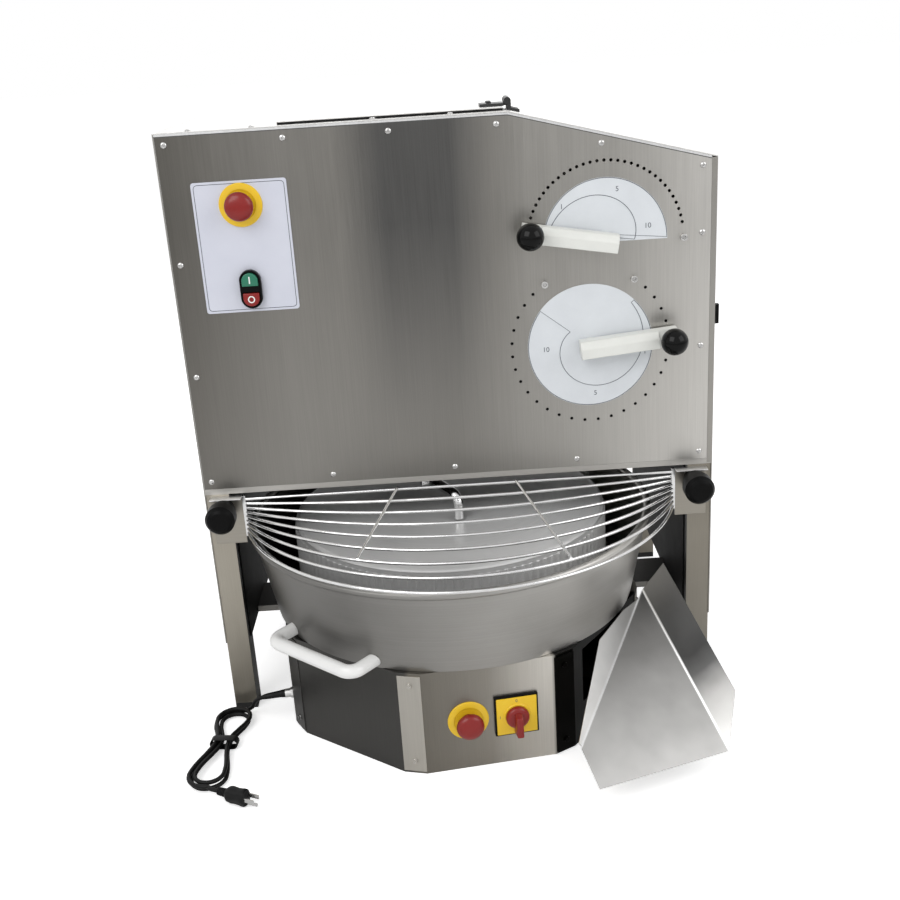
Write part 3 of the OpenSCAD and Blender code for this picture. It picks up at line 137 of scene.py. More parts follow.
def on_front(x: float, z: float, out: float = 0.0) -> Matrix:
    """Give the place of a piece on the head's front, drawn with its own Z outwards.

    Args:
        x: Distance to the right of the head's middle, in millimetres.
        z: Height above the floor, in millimetres.
        out: Distance in front of the cover, in millimetres.

    Returns:
        The matrix that puts the piece there.
    """
    spot = Vector((HEAD_SHIFT + x * MM, -SETBACK - out * MM, z * MM))
    return Matrix.Translation(spot) @ Matrix.Rotation(RIGHT_ANGLE, 4, "X")


def on_base(face: float, x: float, z: float, out: float = 0.0, reach: float = BASE_APOTHEM) -> Matrix:
    """Give the place of a piece on one of the base's eight faces, or on the corner after it.

    Args:
        face: Number of the face, 0 at the front and 1 to the right of it; half numbers are corners.
        x: Distance to the right of the face's middle, in millimetres.
        z: Height above the floor, in millimetres.
        out: Distance in front of the face, in millimetres.
        reach: Distance of the face from the base's axis, in metres.

    Returns:
        The matrix that puts the piece there.
    """
    turn = Matrix.Rotation(BASE_YAW + face * EIGHTH, 4, "Z")
    spot = Matrix.Translation(Vector((x * MM, -reach - out * MM, z * MM)))
    return turn @ spot @ Matrix.Rotation(RIGHT_ANGLE, 4, "X")


class Grain(Enum):
    """Way in which a sheet is brushed."""

    ACROSS = (0.012, 1.0, 1.0)
    DEEP = (1.0, 0.012, 1.0)
    UPRIGHT = (1.0, 1.0, 0.012)
    LOOSE = (0.4, 0.4, 0.4)

    def stretch(self, fine: float) -> Place:
        """Give the noise scale per axis for lines of that fineness."""
        return (self.value[0] * fine, self.value[1] * fine, self.value[2] * fine)


Feed = Union[float, Colour, Place, "Num", bpy.types.NodeSocket]


class Num:
    """A number socket of a material, so that shader maths reads as Python."""

    def __init__(self, kit: "Nodes", socket: bpy.types.NodeSocket) -> None:
        """Keep the socket and the nodes that it belongs to."""
        self.kit = kit
        self.socket = socket

    def __add__(self, other: Feed) -> "Num":
        """Add a number or socket."""
        return self.kit.math("ADD", self, other)

    __radd__ = __add__

    def __mul__(self, other: Feed) -> "Num":
        """Multiply by a number or socket."""
        return self.kit.math("MULTIPLY", self, other)

    __rmul__ = __mul__

    def __sub__(self, other: Feed) -> "Num":
        """Take away a number or socket."""
        return self.kit.math("SUBTRACT", self, other)

    def __rsub__(self, other: Feed) -> "Num":
        """Take this from a number or socket."""
        return self.kit.math("SUBTRACT", other, self)

    def __truediv__(self, other: Feed) -> "Num":
        """Divide by a number or socket."""
        return self.kit.math("DIVIDE", self, other)

    def __rtruediv__(self, other: Feed) -> "Num":
        """Divide a number or socket by this."""
        return self.kit.math("DIVIDE", other, self)

    def __pow__(self, other: Feed) -> "Num":
        """Raise to a power."""
        return self.kit.math("POWER", self, other)

    def capped(self) -> "Num":
        """Hold the value between 0 and 1."""
        return self.kit.math("ADD", self, 0.0, clamp=True)


class Nodes:
    """The nodes of one tree."""

    def __init__(self, tree: bpy.types.NodeTree) -> None:
        """Start with an empty tree."""
        self.tree = tree
        tree.nodes.clear()

    def node(self, kind: str, settings: dict, sockets: dict) -> bpy.types.Node:
        """Make a node: its settings first, then its sockets.

        Args:
            kind: Blender's type name of the node.
            settings: Attributes to set; "stops" fills a colour ramp.
            sockets: Values or links by socket name or number.

        Returns:
            The new node.
        """
        made = self.tree.nodes.new(kind)
        for key, value in settings.items():
            if key == "stops":
                self.fill_ramp(made.color_ramp, value)
            else:
                setattr(made, key, value)
        for key, value in sockets.items():
            self.feed(made.inputs[key], value)
        return made

    def feed(self, socket: bpy.types.NodeSocket, value: Feed) -> None:
        """Link or set one socket.

        Args:
            socket: The socket to fill.
            value: A number, colour or place to set, or a socket to link.
        """
        if isinstance(value, Num):
            self.tree.links.new(value.socket, socket)
        elif isinstance(value, bpy.types.NodeSocket):
            self.tree.links.new(value, socket)
        else:
            socket.default_value = value

    @staticmethod
    def fill_ramp(ramp: bpy.types.ColorRamp, stops: Stops) -> None:
        """Set the stops of a colour ramp.

        Args:
            ramp: The ramp of a colour ramp node.
            stops: Places of 0 to 1 with their colours.
        """
        while len(ramp.elements) < len(stops):
            ramp.elements.new(1.0)
        for element, (where, colour) in zip(ramp.elements, stops):
            element.position = where
            element.color = colour

    def math(self, what: str, a: Feed, b: Feed = 0.0, clamp: bool = False) -> Num:
        """Add a Math node.

        Args:
            what: Its operation.
            a: First value or socket.
            b: Second value or socket, where the operation takes one.
            clamp: Whether the result is held between 0 and 1.

        Returns:
            The result.
        """
        made = self.node("ShaderNodeMath", {"operation": what, "use_clamp": clamp}, {0: a, 1: b})
        return Num(self, made.outputs[0])


class Kit(Nodes):
    """The nodes of one material, with the patterns that the finishes share."""

    OCTAVE_SHARE = 0.55
    EDGE_SAMPLES = 4

    def __init__(self, name: str) -> None:
        """Start a material with a Principled shader and object coordinates.

        Args:
            name: Name of the material.
        """
        self.material = bpy.data.materials.new(name)
        self.material.use_nodes = True
        super().__init__(self.material.node_tree)
        self.shader = self.node("ShaderNodeBsdfPrincipled", {}, {})
        self.node("ShaderNodeOutputMaterial", {}, {"Surface": self.shader.outputs["BSDF"]})
        self.place = self.node("ShaderNodeTexCoord", {}, {}).outputs["Object"]
        split = self.node("ShaderNodeSeparateXYZ", {}, {"Vector": self.place})
        self.x, self.y, self.z = (Num(self, s) for s in split.outputs)

    def noise(self, stretch: Place, detail: float = 2.0, at: Optional[bpy.types.NodeSocket] = None) -> Num:
        """Give a noise of 0 to 1 with its own scale along each axis.

        Args:
            stretch: Cells per metre along X, Y and Z.
            detail: Octaves of the noise.
            at: Place to read, or the object coordinates where left out.

        Returns:
            The noise value.
        """
        spot = self.node("ShaderNodeMapping", {}, {"Vector": at or self.place, "Scale": stretch})
        made = self.node("ShaderNodeTexNoise", {}, {"Vector": spot.outputs[0], "Scale": 1.0, "Detail": detail,
                                                    "Roughness": self.OCTAVE_SHARE})
        return Num(self, made.outputs[0])

    def mix(self, share: Feed, a: Feed, b: Feed, how: str = "MIX") -> bpy.types.NodeSocket:
        """Mix two colours.

        Args:
            share: Share of the second colour.
            a: First colour.
            b: Second colour.
            how: Blend type.

        Returns:
            The colour socket.
        """
        made = self.node("ShaderNodeMix", {"data_type": "RGBA", "blend_type": how}, {0: share, 6: a, 7: b})
        return made.outputs[2]

    def ramp(self, value: Num, stops: Stops) -> bpy.types.NodeSocket:
        """Give the colour of a ramp at a value."""
        return self.node("ShaderNodeValToRGB", {"stops": stops}, {"Fac": value}).outputs["Color"]

    def shaded_across(self, plain: bpy.types.NodeSocket, swing: Stops) -> bpy.types.NodeSocket:
        """Paint shade across the machine into a colour, where a swing is given.

        Args:
            plain: The colour.
            swing: Stops of the painted shade ramp across the machine, or none.

        Returns:
            The colour socket.
        """
        if not swing:
            return plain
        return self.mix(1.0, plain, self.ramp(self.x - SWING_ENDS[0], swing), "MULTIPLY")

    def rings(self) -> bpy.types.NodeSocket:
        """Give coordinates of radius and height about the drum's axis."""
        radius = (self.x * self.x + self.y * self.y) ** 0.5
        return self.node("ShaderNodeCombineXYZ", {}, {"X": radius, "Y": 0.0, "Z": self.z}).outputs[0]

    def normal(self, height: Num, depth: float, edge: float = 0.0) -> bpy.types.NodeSocket:
        """Give a normal from a height pattern, over softly rounded edges where asked.

        Args:
            height: Pattern of 0 to 1.
            depth: Height of the pattern in metres.
            edge: Radius of the rounded edges in metres, or 0.

        Returns:
            The normal socket.
        """
        sockets: dict = {"Strength": 1.0, "Distance": depth, "Height": height}
        if edge > 0:
            soft = self.node("ShaderNodeBevel", {"samples": self.EDGE_SAMPLES}, {"Radius": edge})
            sockets["Normal"] = soft.outputs[0]
        return self.node("ShaderNodeBump", {}, sockets).outputs[0]

    def along(self, way: Vector, start: Vector) -> Num:
        """Give the distance from a point along a direction."""
        return self.x * way.x + self.y * way.y + self.z * way.z - way.dot(start)

    def dress(self, sockets: dict) -> bpy.types.Material:
        """Set the shader's sockets and give the finished material.

        Args:
            sockets: Values or links by socket name.

        Returns:
            The material.
        """
        for key, value in sockets.items():
            self.feed(self.shader.inputs[key], value)
        return self.material


@dataclass(frozen=True)
class Sheet:
    """Brushed or ground sheet metal: fine lines over the tone that each kind of sheet gives."""

    name: str
    grain: Grain = Grain.UPRIGHT
    rough: float = 0.36
    edge: float = 0.0006
    fine: float = 900.0
    line_tone: Colour = grey(222)
    line_share: float = 0.75
    line_rough: float = 0.14
    line_deep: float = 0.00003
    smear: Place = (14, 14, 9)
    smear_rough: float = 0.12

    def base(self, kit: Kit) -> bpy.types.NodeSocket:
        """Give the sheet's own colour without the brush lines."""
        raise NotImplementedError

    def make(self) -> bpy.types.Material:
        """Build the material.

        Returns:
            The material.
        """
        kit = Kit(self.name)
        lines = kit.noise(self.grain.stretch(self.fine))
        smear = kit.noise(self.smear, detail=4)
        lined = kit.mix(lines, self.line_tone, grey(255))
        rough = self.rough + (lines - 0.5) * self.line_rough + (smear - 0.5) * self.smear_rough
        return kit.dress({"Base Color": kit.mix(self.line_share, self.base(kit), lined, "MULTIPLY"),
                          "Metallic": 1.0, "Roughness": rough,
                          "Normal": kit.normal(lines, self.line_deep, self.edge)})


@dataclass(frozen=True)
class Brushed(Sheet):
    """Sheet of one metal, with painted shade that may swing across the machine."""

    dark: Colour = grey(150)
    light: Colour = grey(178)
    cloud: Place = even(4)
    # painted shade across the machine
    swing: Stops = ()

    def base(self, kit: Kit) -> bpy.types.NodeSocket:
        """Give the clouded metal, with painted shade across the machine where a swing is given."""
        return kit.shaded_across(kit.mix(kit.noise(self.cloud, detail=3), self.dark, self.light), self.swing)


@dataclass(frozen=True)
class SlabSheet(Brushed):
    """Brushed sheet with another tone between two planes: painted highlights along edges, painted shade
    between the front legs, and a dark strip on the lid.
    """

    way: Place = (0.0, 0.0, 1.0)
    start: Place = (0.0, 0.0, 0.0)
    half: float = 0.001
    inside: Colour = grey(0)

    def base(self, kit: Kit) -> bpy.types.NodeSocket:
        """Give the sheet's colour, changed within the slab."""
        off = kit.math("ABSOLUTE", kit.along(Vector(self.way), Vector(self.start)))
        return kit.mix(kit.math("LESS_THAN", off, self.half), super().base(kit), self.inside)


@dataclass(frozen=True)
class CoverSheet(Sheet):
    """Brushed cover with painted reflection bands across its width, softer towards its lower edge."""

    upper: Stops = ()
    lower: Stops = ()
    left: float = COVER_ENDS[0]
    width: float = COVER_ENDS[1] - COVER_ENDS[0]
    sway: float = 0.05
    sway_cells: Place = (3, 3, 0.6)
    fade_top: float = 0.76
    fade_high: float = 0.34
    ridge: float = 0.113
    slope: float = 0.2667
    # painted highlight in a band under the roof's edge, a painted shade line under it, and a painted
    # highlight along the left edge
    lip: float = 0.0045
    lip_highlight: Colour = grey(240)
    line: float = 0.0012
    shade_line_below: Colour = grey(104)
    side: float = -0.3638
    side_highlight: Colour = grey(190)

    def base(self, kit: Kit) -> bpy.types.NodeSocket:
        """Give the painted reflection bands across the cover, with the painted highlights on its upper fold
        and left edge and the painted shade line under the fold.

        Args:
            kit: The material's nodes.

        Returns:
            The colour socket.
        """
        sway = (kit.noise(self.sway_cells) - 0.5) * self.sway
        across = (kit.x - self.left) / self.width + sway
        down = ((self.fade_top - kit.z) / self.fade_high).capped()
        plain = kit.mix(down, kit.ramp(across, self.upper), kit.ramp(across, self.lower))
        below = ROOF_Z - kit.math("MAXIMUM", kit.x - self.ridge, 0.0) * self.slope - kit.z
        # painted highlight on the left edge, then the painted shade line and the painted highlight under the
        # roof's edge
        plain = kit.mix(kit.math("LESS_THAN", kit.x, self.side), plain, self.side_highlight)
        plain = kit.mix(kit.math("LESS_THAN", below, self.lip + self.line), plain, self.shade_line_below)
        return kit.mix(kit.math("LESS_THAN", below, self.lip), plain, self.lip_highlight)


@dataclass(frozen=True)
class RoundSheet(Sheet):
    """Brushed sheet round the base with painted shade and reflection that change from face to face."""

    painted_face_shading: Stops = ()
    cloud: Place = (5, 5, 7)
    cloud_tone: Colour = grey(236)
    cloud_share: float = 0.7

    def base(self, kit: Kit) -> bpy.types.NodeSocket:
        """Give the painted shade and reflection at an angle from the front.

        Args:
            kit: The material's nodes.

        Returns:
            The colour socket.
        """
        angle = kit.math("ARCTAN2", kit.x, kit.y * -1.0) / (2 * math.pi) + 0.5
        cloud = kit.mix(kit.noise(self.cloud, detail=3), self.cloud_tone, grey(255))
        return kit.mix(self.cloud_share, kit.ramp(angle, self.painted_face_shading), cloud, "MULTIPLY")


@dataclass(frozen=True)
class ChuteSheet(Sheet):
    """Polished chute sheet: painted reflections on its floor and sides change up the slope, and its folds
    carry painted highlights.
    """

    corner: Place = (0.1786, -0.402, 0.040)
    yaw: float = math.radians(19.4)
    slope: float = math.radians(30)
    wide: float = 0.201
    left: float = 0.063
    long: float = 0.279
    mottle: float = 0.16
    mottle_cells: Place = even(11)
    seam: float = 0.0008
    # painted highlight along the folds
    fold: float = 0.0022
    fold_highlight: Colour = grey(252)
    floor: Stops = ()
    right: Stops = ()
    beside: Stops = ()

    def base(self, kit: Kit) -> bpy.types.NodeSocket:
        """Give the painted reflections of the floor and the sides, and the painted highlights on the folds.

        Args:
            kit: The material's nodes.

        Returns:
            The colour socket.
        """
        turn = Matrix.Rotation(self.yaw, 3, "Z") @ Matrix.Rotation(self.slope, 3, "X")
        across = kit.along(turn.col[0], Vector(self.corner))
        up = kit.along(turn.col[1], Vector(self.corner))
        lean = math.atan2(self.long - self.left, self.wide)
        side = (up - self.left) * math.cos(lean) - across * math.sin(lean)
        rise = up / CHUTE_ENDS[1] + (kit.noise(self.mottle_cells, detail=3) - 0.5) * self.mottle
        plain = kit.mix(kit.math("GREATER_THAN", side, self.seam), kit.ramp(rise, self.floor),
                        kit.ramp(rise, self.beside))
        plain = kit.mix(kit.math("GREATER_THAN", across, self.wide), plain, kit.ramp(rise, self.right))
        folds = [1.0 - kit.math("ABSOLUTE", d) / self.fold for d in (side, across - self.wide)]
        return kit.mix(kit.math("MAXIMUM", *folds, clamp=True), plain, self.fold_highlight)


@dataclass(frozen=True)
class Turned:
    """Turned or spun metal with fine rings about the drum's axis."""

    name: str
    dark: Colour
    light: Colour
    rough: float = 0.34
    edge: float = 0.0008
    fine: float = 700.0
    metal: float = 1.0
    # painted shade across the machine
    swing: Stops = ()
    ring_tone: Colour = grey(220)
    ring_share: float = 0.8
    ring_rough: float = 0.12
    ring_deep: float = 0.00004
    cloud: Place = (9, 9, 13)
    cloud_rough: float = 0.14

    def make(self) -> bpy.types.Material:
        """Build the material.

        Returns:
            The material.
        """
        kit = Kit(self.name)
        rings = kit.noise((self.fine, 1.0, self.fine), at=kit.rings())
        cloud = kit.noise(self.cloud, detail=4)
        base = kit.shaded_across(kit.mix(cloud, self.dark, self.light), self.swing)
        ringed = kit.mix(rings, self.ring_tone, grey(255))
        rough = self.rough + (rings - 0.5) * self.ring_rough + (cloud - 0.5) * self.cloud_rough
        return kit.dress({"Base Color": kit.mix(self.ring_share, base, ringed, "MULTIPLY"),
                          "Metallic": self.metal, "Roughness": rough,
                          "Normal": kit.normal(rings, self.ring_deep, self.edge)})


@dataclass(frozen=True)
class Bright:
    """Bright plated or polished metal."""

    name: str
    dark: Colour
    light: Colour
    rough: float = 0.16
    edge: float = 0.0004
    wipe: Place = even(60)
    wipe_rough: float = 0.1
    skin: Place = even(500)
    depth: float = 0.00001

    def make(self) -> bpy.types.Material:
        """Build the material.

        Returns:
            The material.
        """
        kit = Kit(self.name)
        wipe = kit.noise(self.wipe, detail=3)
        return kit.dress({"Base Color": kit.mix(wipe, self.dark, self.light), "Metallic": 1.0,
                          "Roughness": self.rough + (wipe - 0.5) * self.wipe_rough,
                          "Normal": kit.normal(kit.noise(self.skin), self.depth, self.edge)})


@dataclass(frozen=True)
class Moulded:
    """Moulded plastic, rubber or paint with a fine skin."""

    name: str
    dark: Colour
    light: Colour
    rough: float = 0.35
    skin: float = 700.0
    depth: float = 0.00004
    edge: float = 0.0007
    coat: float = 0.0
    shine: float = 0.5
    coat_rough: float = 0.12
    cloud: Place = even(26)
    cloud_share: float = 0.8
    cloud_rough: float = 0.12

    def make(self) -> bpy.types.Material:
        """Build the material.

        Returns:
            The material.
        """
        kit = Kit(self.name)
        cloud = kit.noise(self.cloud, detail=3)
        skin = kit.noise(even(self.skin))
        mottle = cloud * self.cloud_share + skin * (1 - self.cloud_share)
        return kit.dress({"Base Color": kit.mix(mottle, self.dark, self.light),
                          "Roughness": self.rough + (cloud - 0.5) * self.cloud_rough,
                          "Coat Weight": self.coat, "Coat Roughness": self.coat_rough,
                          "Specular IOR Level": self.shine,
                          "Normal": kit.normal(skin, self.depth, self.edge)})


# Painted reflection and shade greys by place: metres across the cover, degrees round the base, metres up the
# chute and across the machine
UPPER_PAINTED_REFLECTION = ((-0.365, 104), (-0.21, 138), (-0.13, 136), (-0.065, 96), (0.03, 98), (0.09, 140), (0.14, 162),
               (0.26, 172), (0.385, 208))
LOWER_PAINTED_REFLECTION = ((-0.365, 118), (-0.22, 141), (0.02, 138), (0.18, 164), (0.385, 204))
BASE_PAINTED_SHADING = ((-180, 96), (-60, 86), (-14.6, 80), (-14.2, 116), (8, 148), (27, 222), (27.4, 12), (74, 12),
              (74.5, 140), (180, 130))
STRIP_PAINTED_SHADING = ((-180, 160), (-84, 150), (-80, 82), (-40, 82), (-36, 170), (-14, 186), (20, 186), (24, 12),
               (38, 12), (42, 130), (180, 160))
CHUTE_FLOOR_PAINTED_REFLECTION = ((0, 198), (0.1, 166), (0.18, 128), (0.3, 104))
CHUTE_RIGHT_PAINTED_REFLECTION = ((0, 200), (0.08, 156), (0.12, 84), (0.15, 62), (0.22, 86), (0.3, 122))
CHUTE_BESIDE_PAINTED_REFLECTION = ((0, 236), (0.16, 228), (0.24, 176), (0.3, 160))
# painted shade across the machine: legs darker on the right, bowl and drum darker on the left
LEG_PAINTED_SHADE = ((-0.5, 255), (-0.2, 250), (0.2, 222), (0.5, 216))
BOWL_PAINTED_SHADE = ((-0.32, 152), (-0.15, 163), (0.0, 200), (0.14, 230), (0.2, 250), (0.32, 255))
DRUM_PAINTED_SHADE = ((-0.26, 224), (0.0, 220), (0.08, 240), (0.14, 255), (0.26, 255))

# Metals that several sheets share
ROOF_METAL = {"rough": 0.38, "dark": grey(226, 3), "light": grey(244, 2)}
# painted shade: dark greys for the sheets that lie in shade under the head and under the chute
SHADE_DARK_METAL = {"rough": 0.45, "dark": grey(44, 2), "light": grey(66, 3)}
# legs: painted shade across the machine through their swing
LEG_METAL = {"rough": 0.4, "dark": grey(150, 13), "light": grey(182, 11),
             "swing": band(LEG_PAINTED_SHADE, SWING_ENDS, 0)}

FINISHES = {
    # cover: painted reflection bands across it, with painted highlights at its upper fold and left edge
    "cover": CoverSheet("cover_steel", rough=0.34, edge=0.0005, upper=band(UPPER_PAINTED_REFLECTION, COVER_ENDS),
                        lower=band(LOWER_PAINTED_REFLECTION, COVER_ENDS)),
    "sheet": Brushed("brushed_sheet", Grain.DEEP, dark=grey(150, 6), light=grey(178, 5)),
    "roof": Brushed("roof_sheet", Grain.ACROSS, **ROOF_METAL),
    "lid": SlabSheet("lid_sheet", Grain.ACROSS, **ROOF_METAL, way=(0, 0.7071, 0.7071),
                     start=(0, -0.071, ROOF_Z), half=0.0023, inside=grey(40)),
    "leg": Brushed("leg_steel", **LEG_METAL),
    # front legs: painted shade, near black between the legs where their inner sides lie in shade
    "front_leg": SlabSheet("front_leg_steel", **LEG_METAL, way=(1, 0, 0), start=(HEAD_SHIFT, 0, 0),
                           half=0.3456, inside=grey(34)),
    # tie plates and head floor: a painted highlight along their front edges
    "tie": SlabSheet("tie_sheet", Grain.ACROSS, **SHADE_DARK_METAL, way=(0, 1, 0), start=(0, 0.015, 0), half=0.0006,
                     inside=grey(156, 4)),
    "dark": Brushed("dark_sheet", **SHADE_DARK_METAL),
    "floor": SlabSheet("floor_sheet", Grain.ACROSS, **SHADE_DARK_METAL, way=(0, 1, 0), start=(0, -SETBACK, 0),
                       half=0.0008, inside=grey(186, 5)),
    # painted shade: near-black sheet for the skirt liners and the backing of the index holes, where only
    # shade lies
    "shade": Moulded("shade_black_sheet", grey(9), grey(20), 0.6, skin=500.0, edge=0.0006, shine=0.1),
    # base and strips: painted shade and reflection by face, near black on the faces in shade beside the chute
    "base": RoundSheet("base_sheet", rough=0.38, painted_face_shading=band(BASE_PAINTED_SHADING, ROUND_ENDS, 8)),
    "strip": RoundSheet("strip_sheet", rough=0.4, painted_face_shading=band(STRIP_PAINTED_SHADING, ROUND_ENDS, 8)),
    # chute: painted reflections up the slope, painted highlights on the folds
    "chute": ChuteSheet("chute_sheet", Grain.LOOSE, 0.34, 0.0012, 60.0,
                        floor=band(CHUTE_FLOOR_PAINTED_REFLECTION, CHUTE_ENDS, 2), right=band(CHUTE_RIGHT_PAINTED_REFLECTION, CHUTE_ENDS, 2),
                        beside=band(CHUTE_BESIDE_PAINTED_REFLECTION, CHUTE_ENDS, 2)),
    "food": Brushed("food_steel", Grain.DEEP, dark=grey(168, 3), light=grey(196, 2)),
    # painted highlight along the guard plates' top edge
    "guard": SlabSheet("guard_plate", Grain.ACROSS, edge=0.001, dark=grey(146, 10), light=grey(172, 9),
                       start=(0, 0, GUARD_TOP), half=0.0012, inside=grey(244)),
    # bowl and drum: painted shade across the machine
    "bowl": Turned("cast_aluminium", grey(194, 5), grey(218, 4), 0.4, 0.001,
                   swing=band(BOWL_PAINTED_SHADE, SWING_ENDS, 0)),
    "drum": Turned("drum_aluminium", grey(236, 1), grey(254, 0), 0.34, 0.0006, metal=0.24,
                   swing=band(DRUM_PAINTED_SHADE, SWING_ENDS, 0)),
    "wire": Bright("bright_wire", grey(206), grey(236), 0.14),
    "screw": Bright("screw_steel", grey(176, 2), grey(210, 1), 0.26),
    "gland": Bright("gland_metal", grey(200, 2), grey(228, 1), 0.3),
    "motor": Moulded("motor_paint", grey(82, -4), grey(104, -5), 0.42, skin=500.0),
    "cast": Moulded("cast_housing", grey(104), grey(126), 0.55, skin=400.0, depth=0.00012),
    "rubber": Moulded("foot_rubber", grey(20), grey(34), 0.75, skin=500.0, depth=0.0001),
    "cord": Moulded("cord_rubber", grey(9), grey(18), 0.5, skin=600.0, depth=0.00005, edge=0.0, shine=0.2),
    "hinge": Moulded("black_hinge", grey(20), grey(36), 0.42, skin=600.0, edge=0.0006),
    "pale": Moulded("pale_plate", tone(200, 203, 216), tone(214, 216, 226), 0.3, skin=900.0, depth=0.00001,
                    edge=0.0006),
    "yellow": Moulded("yellow_plastic", tone(230, 186, 28), tone(246, 206, 44), 0.34),
    "red": Moulded("red_plastic", tone(122, 24, 22), tone(146, 32, 28), 0.3, depth=0.00003, edge=0.001,
                   coat=0.15, shine=0.35),
    "black": Moulded("black_plastic", grey(6), grey(13), 0.34, skin=800.0, depth=0.00003, edge=0.001,
                     shine=0.09),
    "ball": Moulded("ball_black", grey(5), grey(9), 0.1, skin=800.0, depth=0.000006, edge=0.0, shine=0.16),
    "green": Moulded("green_plastic", tone(28, 104, 80), tone(42, 126, 98), 0.3),
    "white": Moulded("white_plate", tone(206, 210, 214), tone(224, 228, 232), 0.4, skin=900.0, depth=0.00001,
                     edge=0.0003),
    "paint": Moulded("offwhite_paint", tone(214, 215, 210), tone(232, 233, 228), 0.34, skin=420.0,
                     depth=0.00005, edge=0.0012),
    "track": Moulded("track_plastic", tone(208, 208, 202), tone(226, 226, 220), 0.45),
    "handle": Moulded("white_plastic", tone(232, 232, 230), tone(248, 248, 247), 0.3, skin=500.0,
                      depth=0.00003, edge=0.001, coat=0.2),
    "print": Moulded("dial_print", tone(70, 76, 84), tone(92, 98, 106), 0.6, skin=900.0, depth=0.000004,
                     edge=0.0),
    "mark": Moulded("white_mark", tone(226, 230, 226), tone(246, 246, 244), 0.5, skin=900.0, depth=0.000004,
                    edge=0.0),
}

NODE_FINISH = {
    "cover": ["front_cover"],
    "sheet": ["left_side_panel", "right_side_panel", "rear_panel"],
    "roof": ["roof_sheet"],
    "lid": ["hopper_lid"],
    "leg": ["rear_legs", "frame_rails"],
    "front_leg": ["front_legs"],
    "tie": ["tie_plates"],
    "dark": ["chute_bracket"],
    "floor": ["head_floor"],
    "shade": ["skirt_liners"],
    "base": ["base_panels"],
    "strip": ["base_corner_strips"],
    "chute": ["chute"],
    "food": ["hopper", "feed_auger", "portion_piston"],
    "guard": ["guard_plates"],
    "bowl": ["bowl"],
    "drum": ["rounding_drum"],
    "wire": ["guard_wires", "drip_tube"],
    "screw": ["cover_screws", "dial_stop_screws", "plug_pins"],
    "gland": ["cable_gland"],
    "motor": ["auger_motor", "drive_motor"],
    "cast": ["spindle_housing"],
    "rubber": ["leg_feet", "lid_gasket"],
    "cord": ["power_cord", "cord_hank", "cord_tie", "plug"],
    "hinge": ["roof_hinges", "lid_hinges"],
    "pale": ["control_plate"],
    "yellow": ["estop_collar", "base_estop_collar", "main_switch_plate"],
    "red": ["estop_button", "base_estop_button", "stop_button", "main_switch_handle"],
    "black": ["twin_bezel", "guard_knob_left", "guard_knob_right", "side_latch"],
    "ball": ["upper_knob", "lower_knob"],
    "green": ["start_button"],
    "white": ["dial_plates"],
    "paint": ["upper_lever", "lower_lever"],
    "track": ["rounding_track"],
    "handle": ["bowl_handle"],
}

Test = Callable[[Vector, Vector], bool]


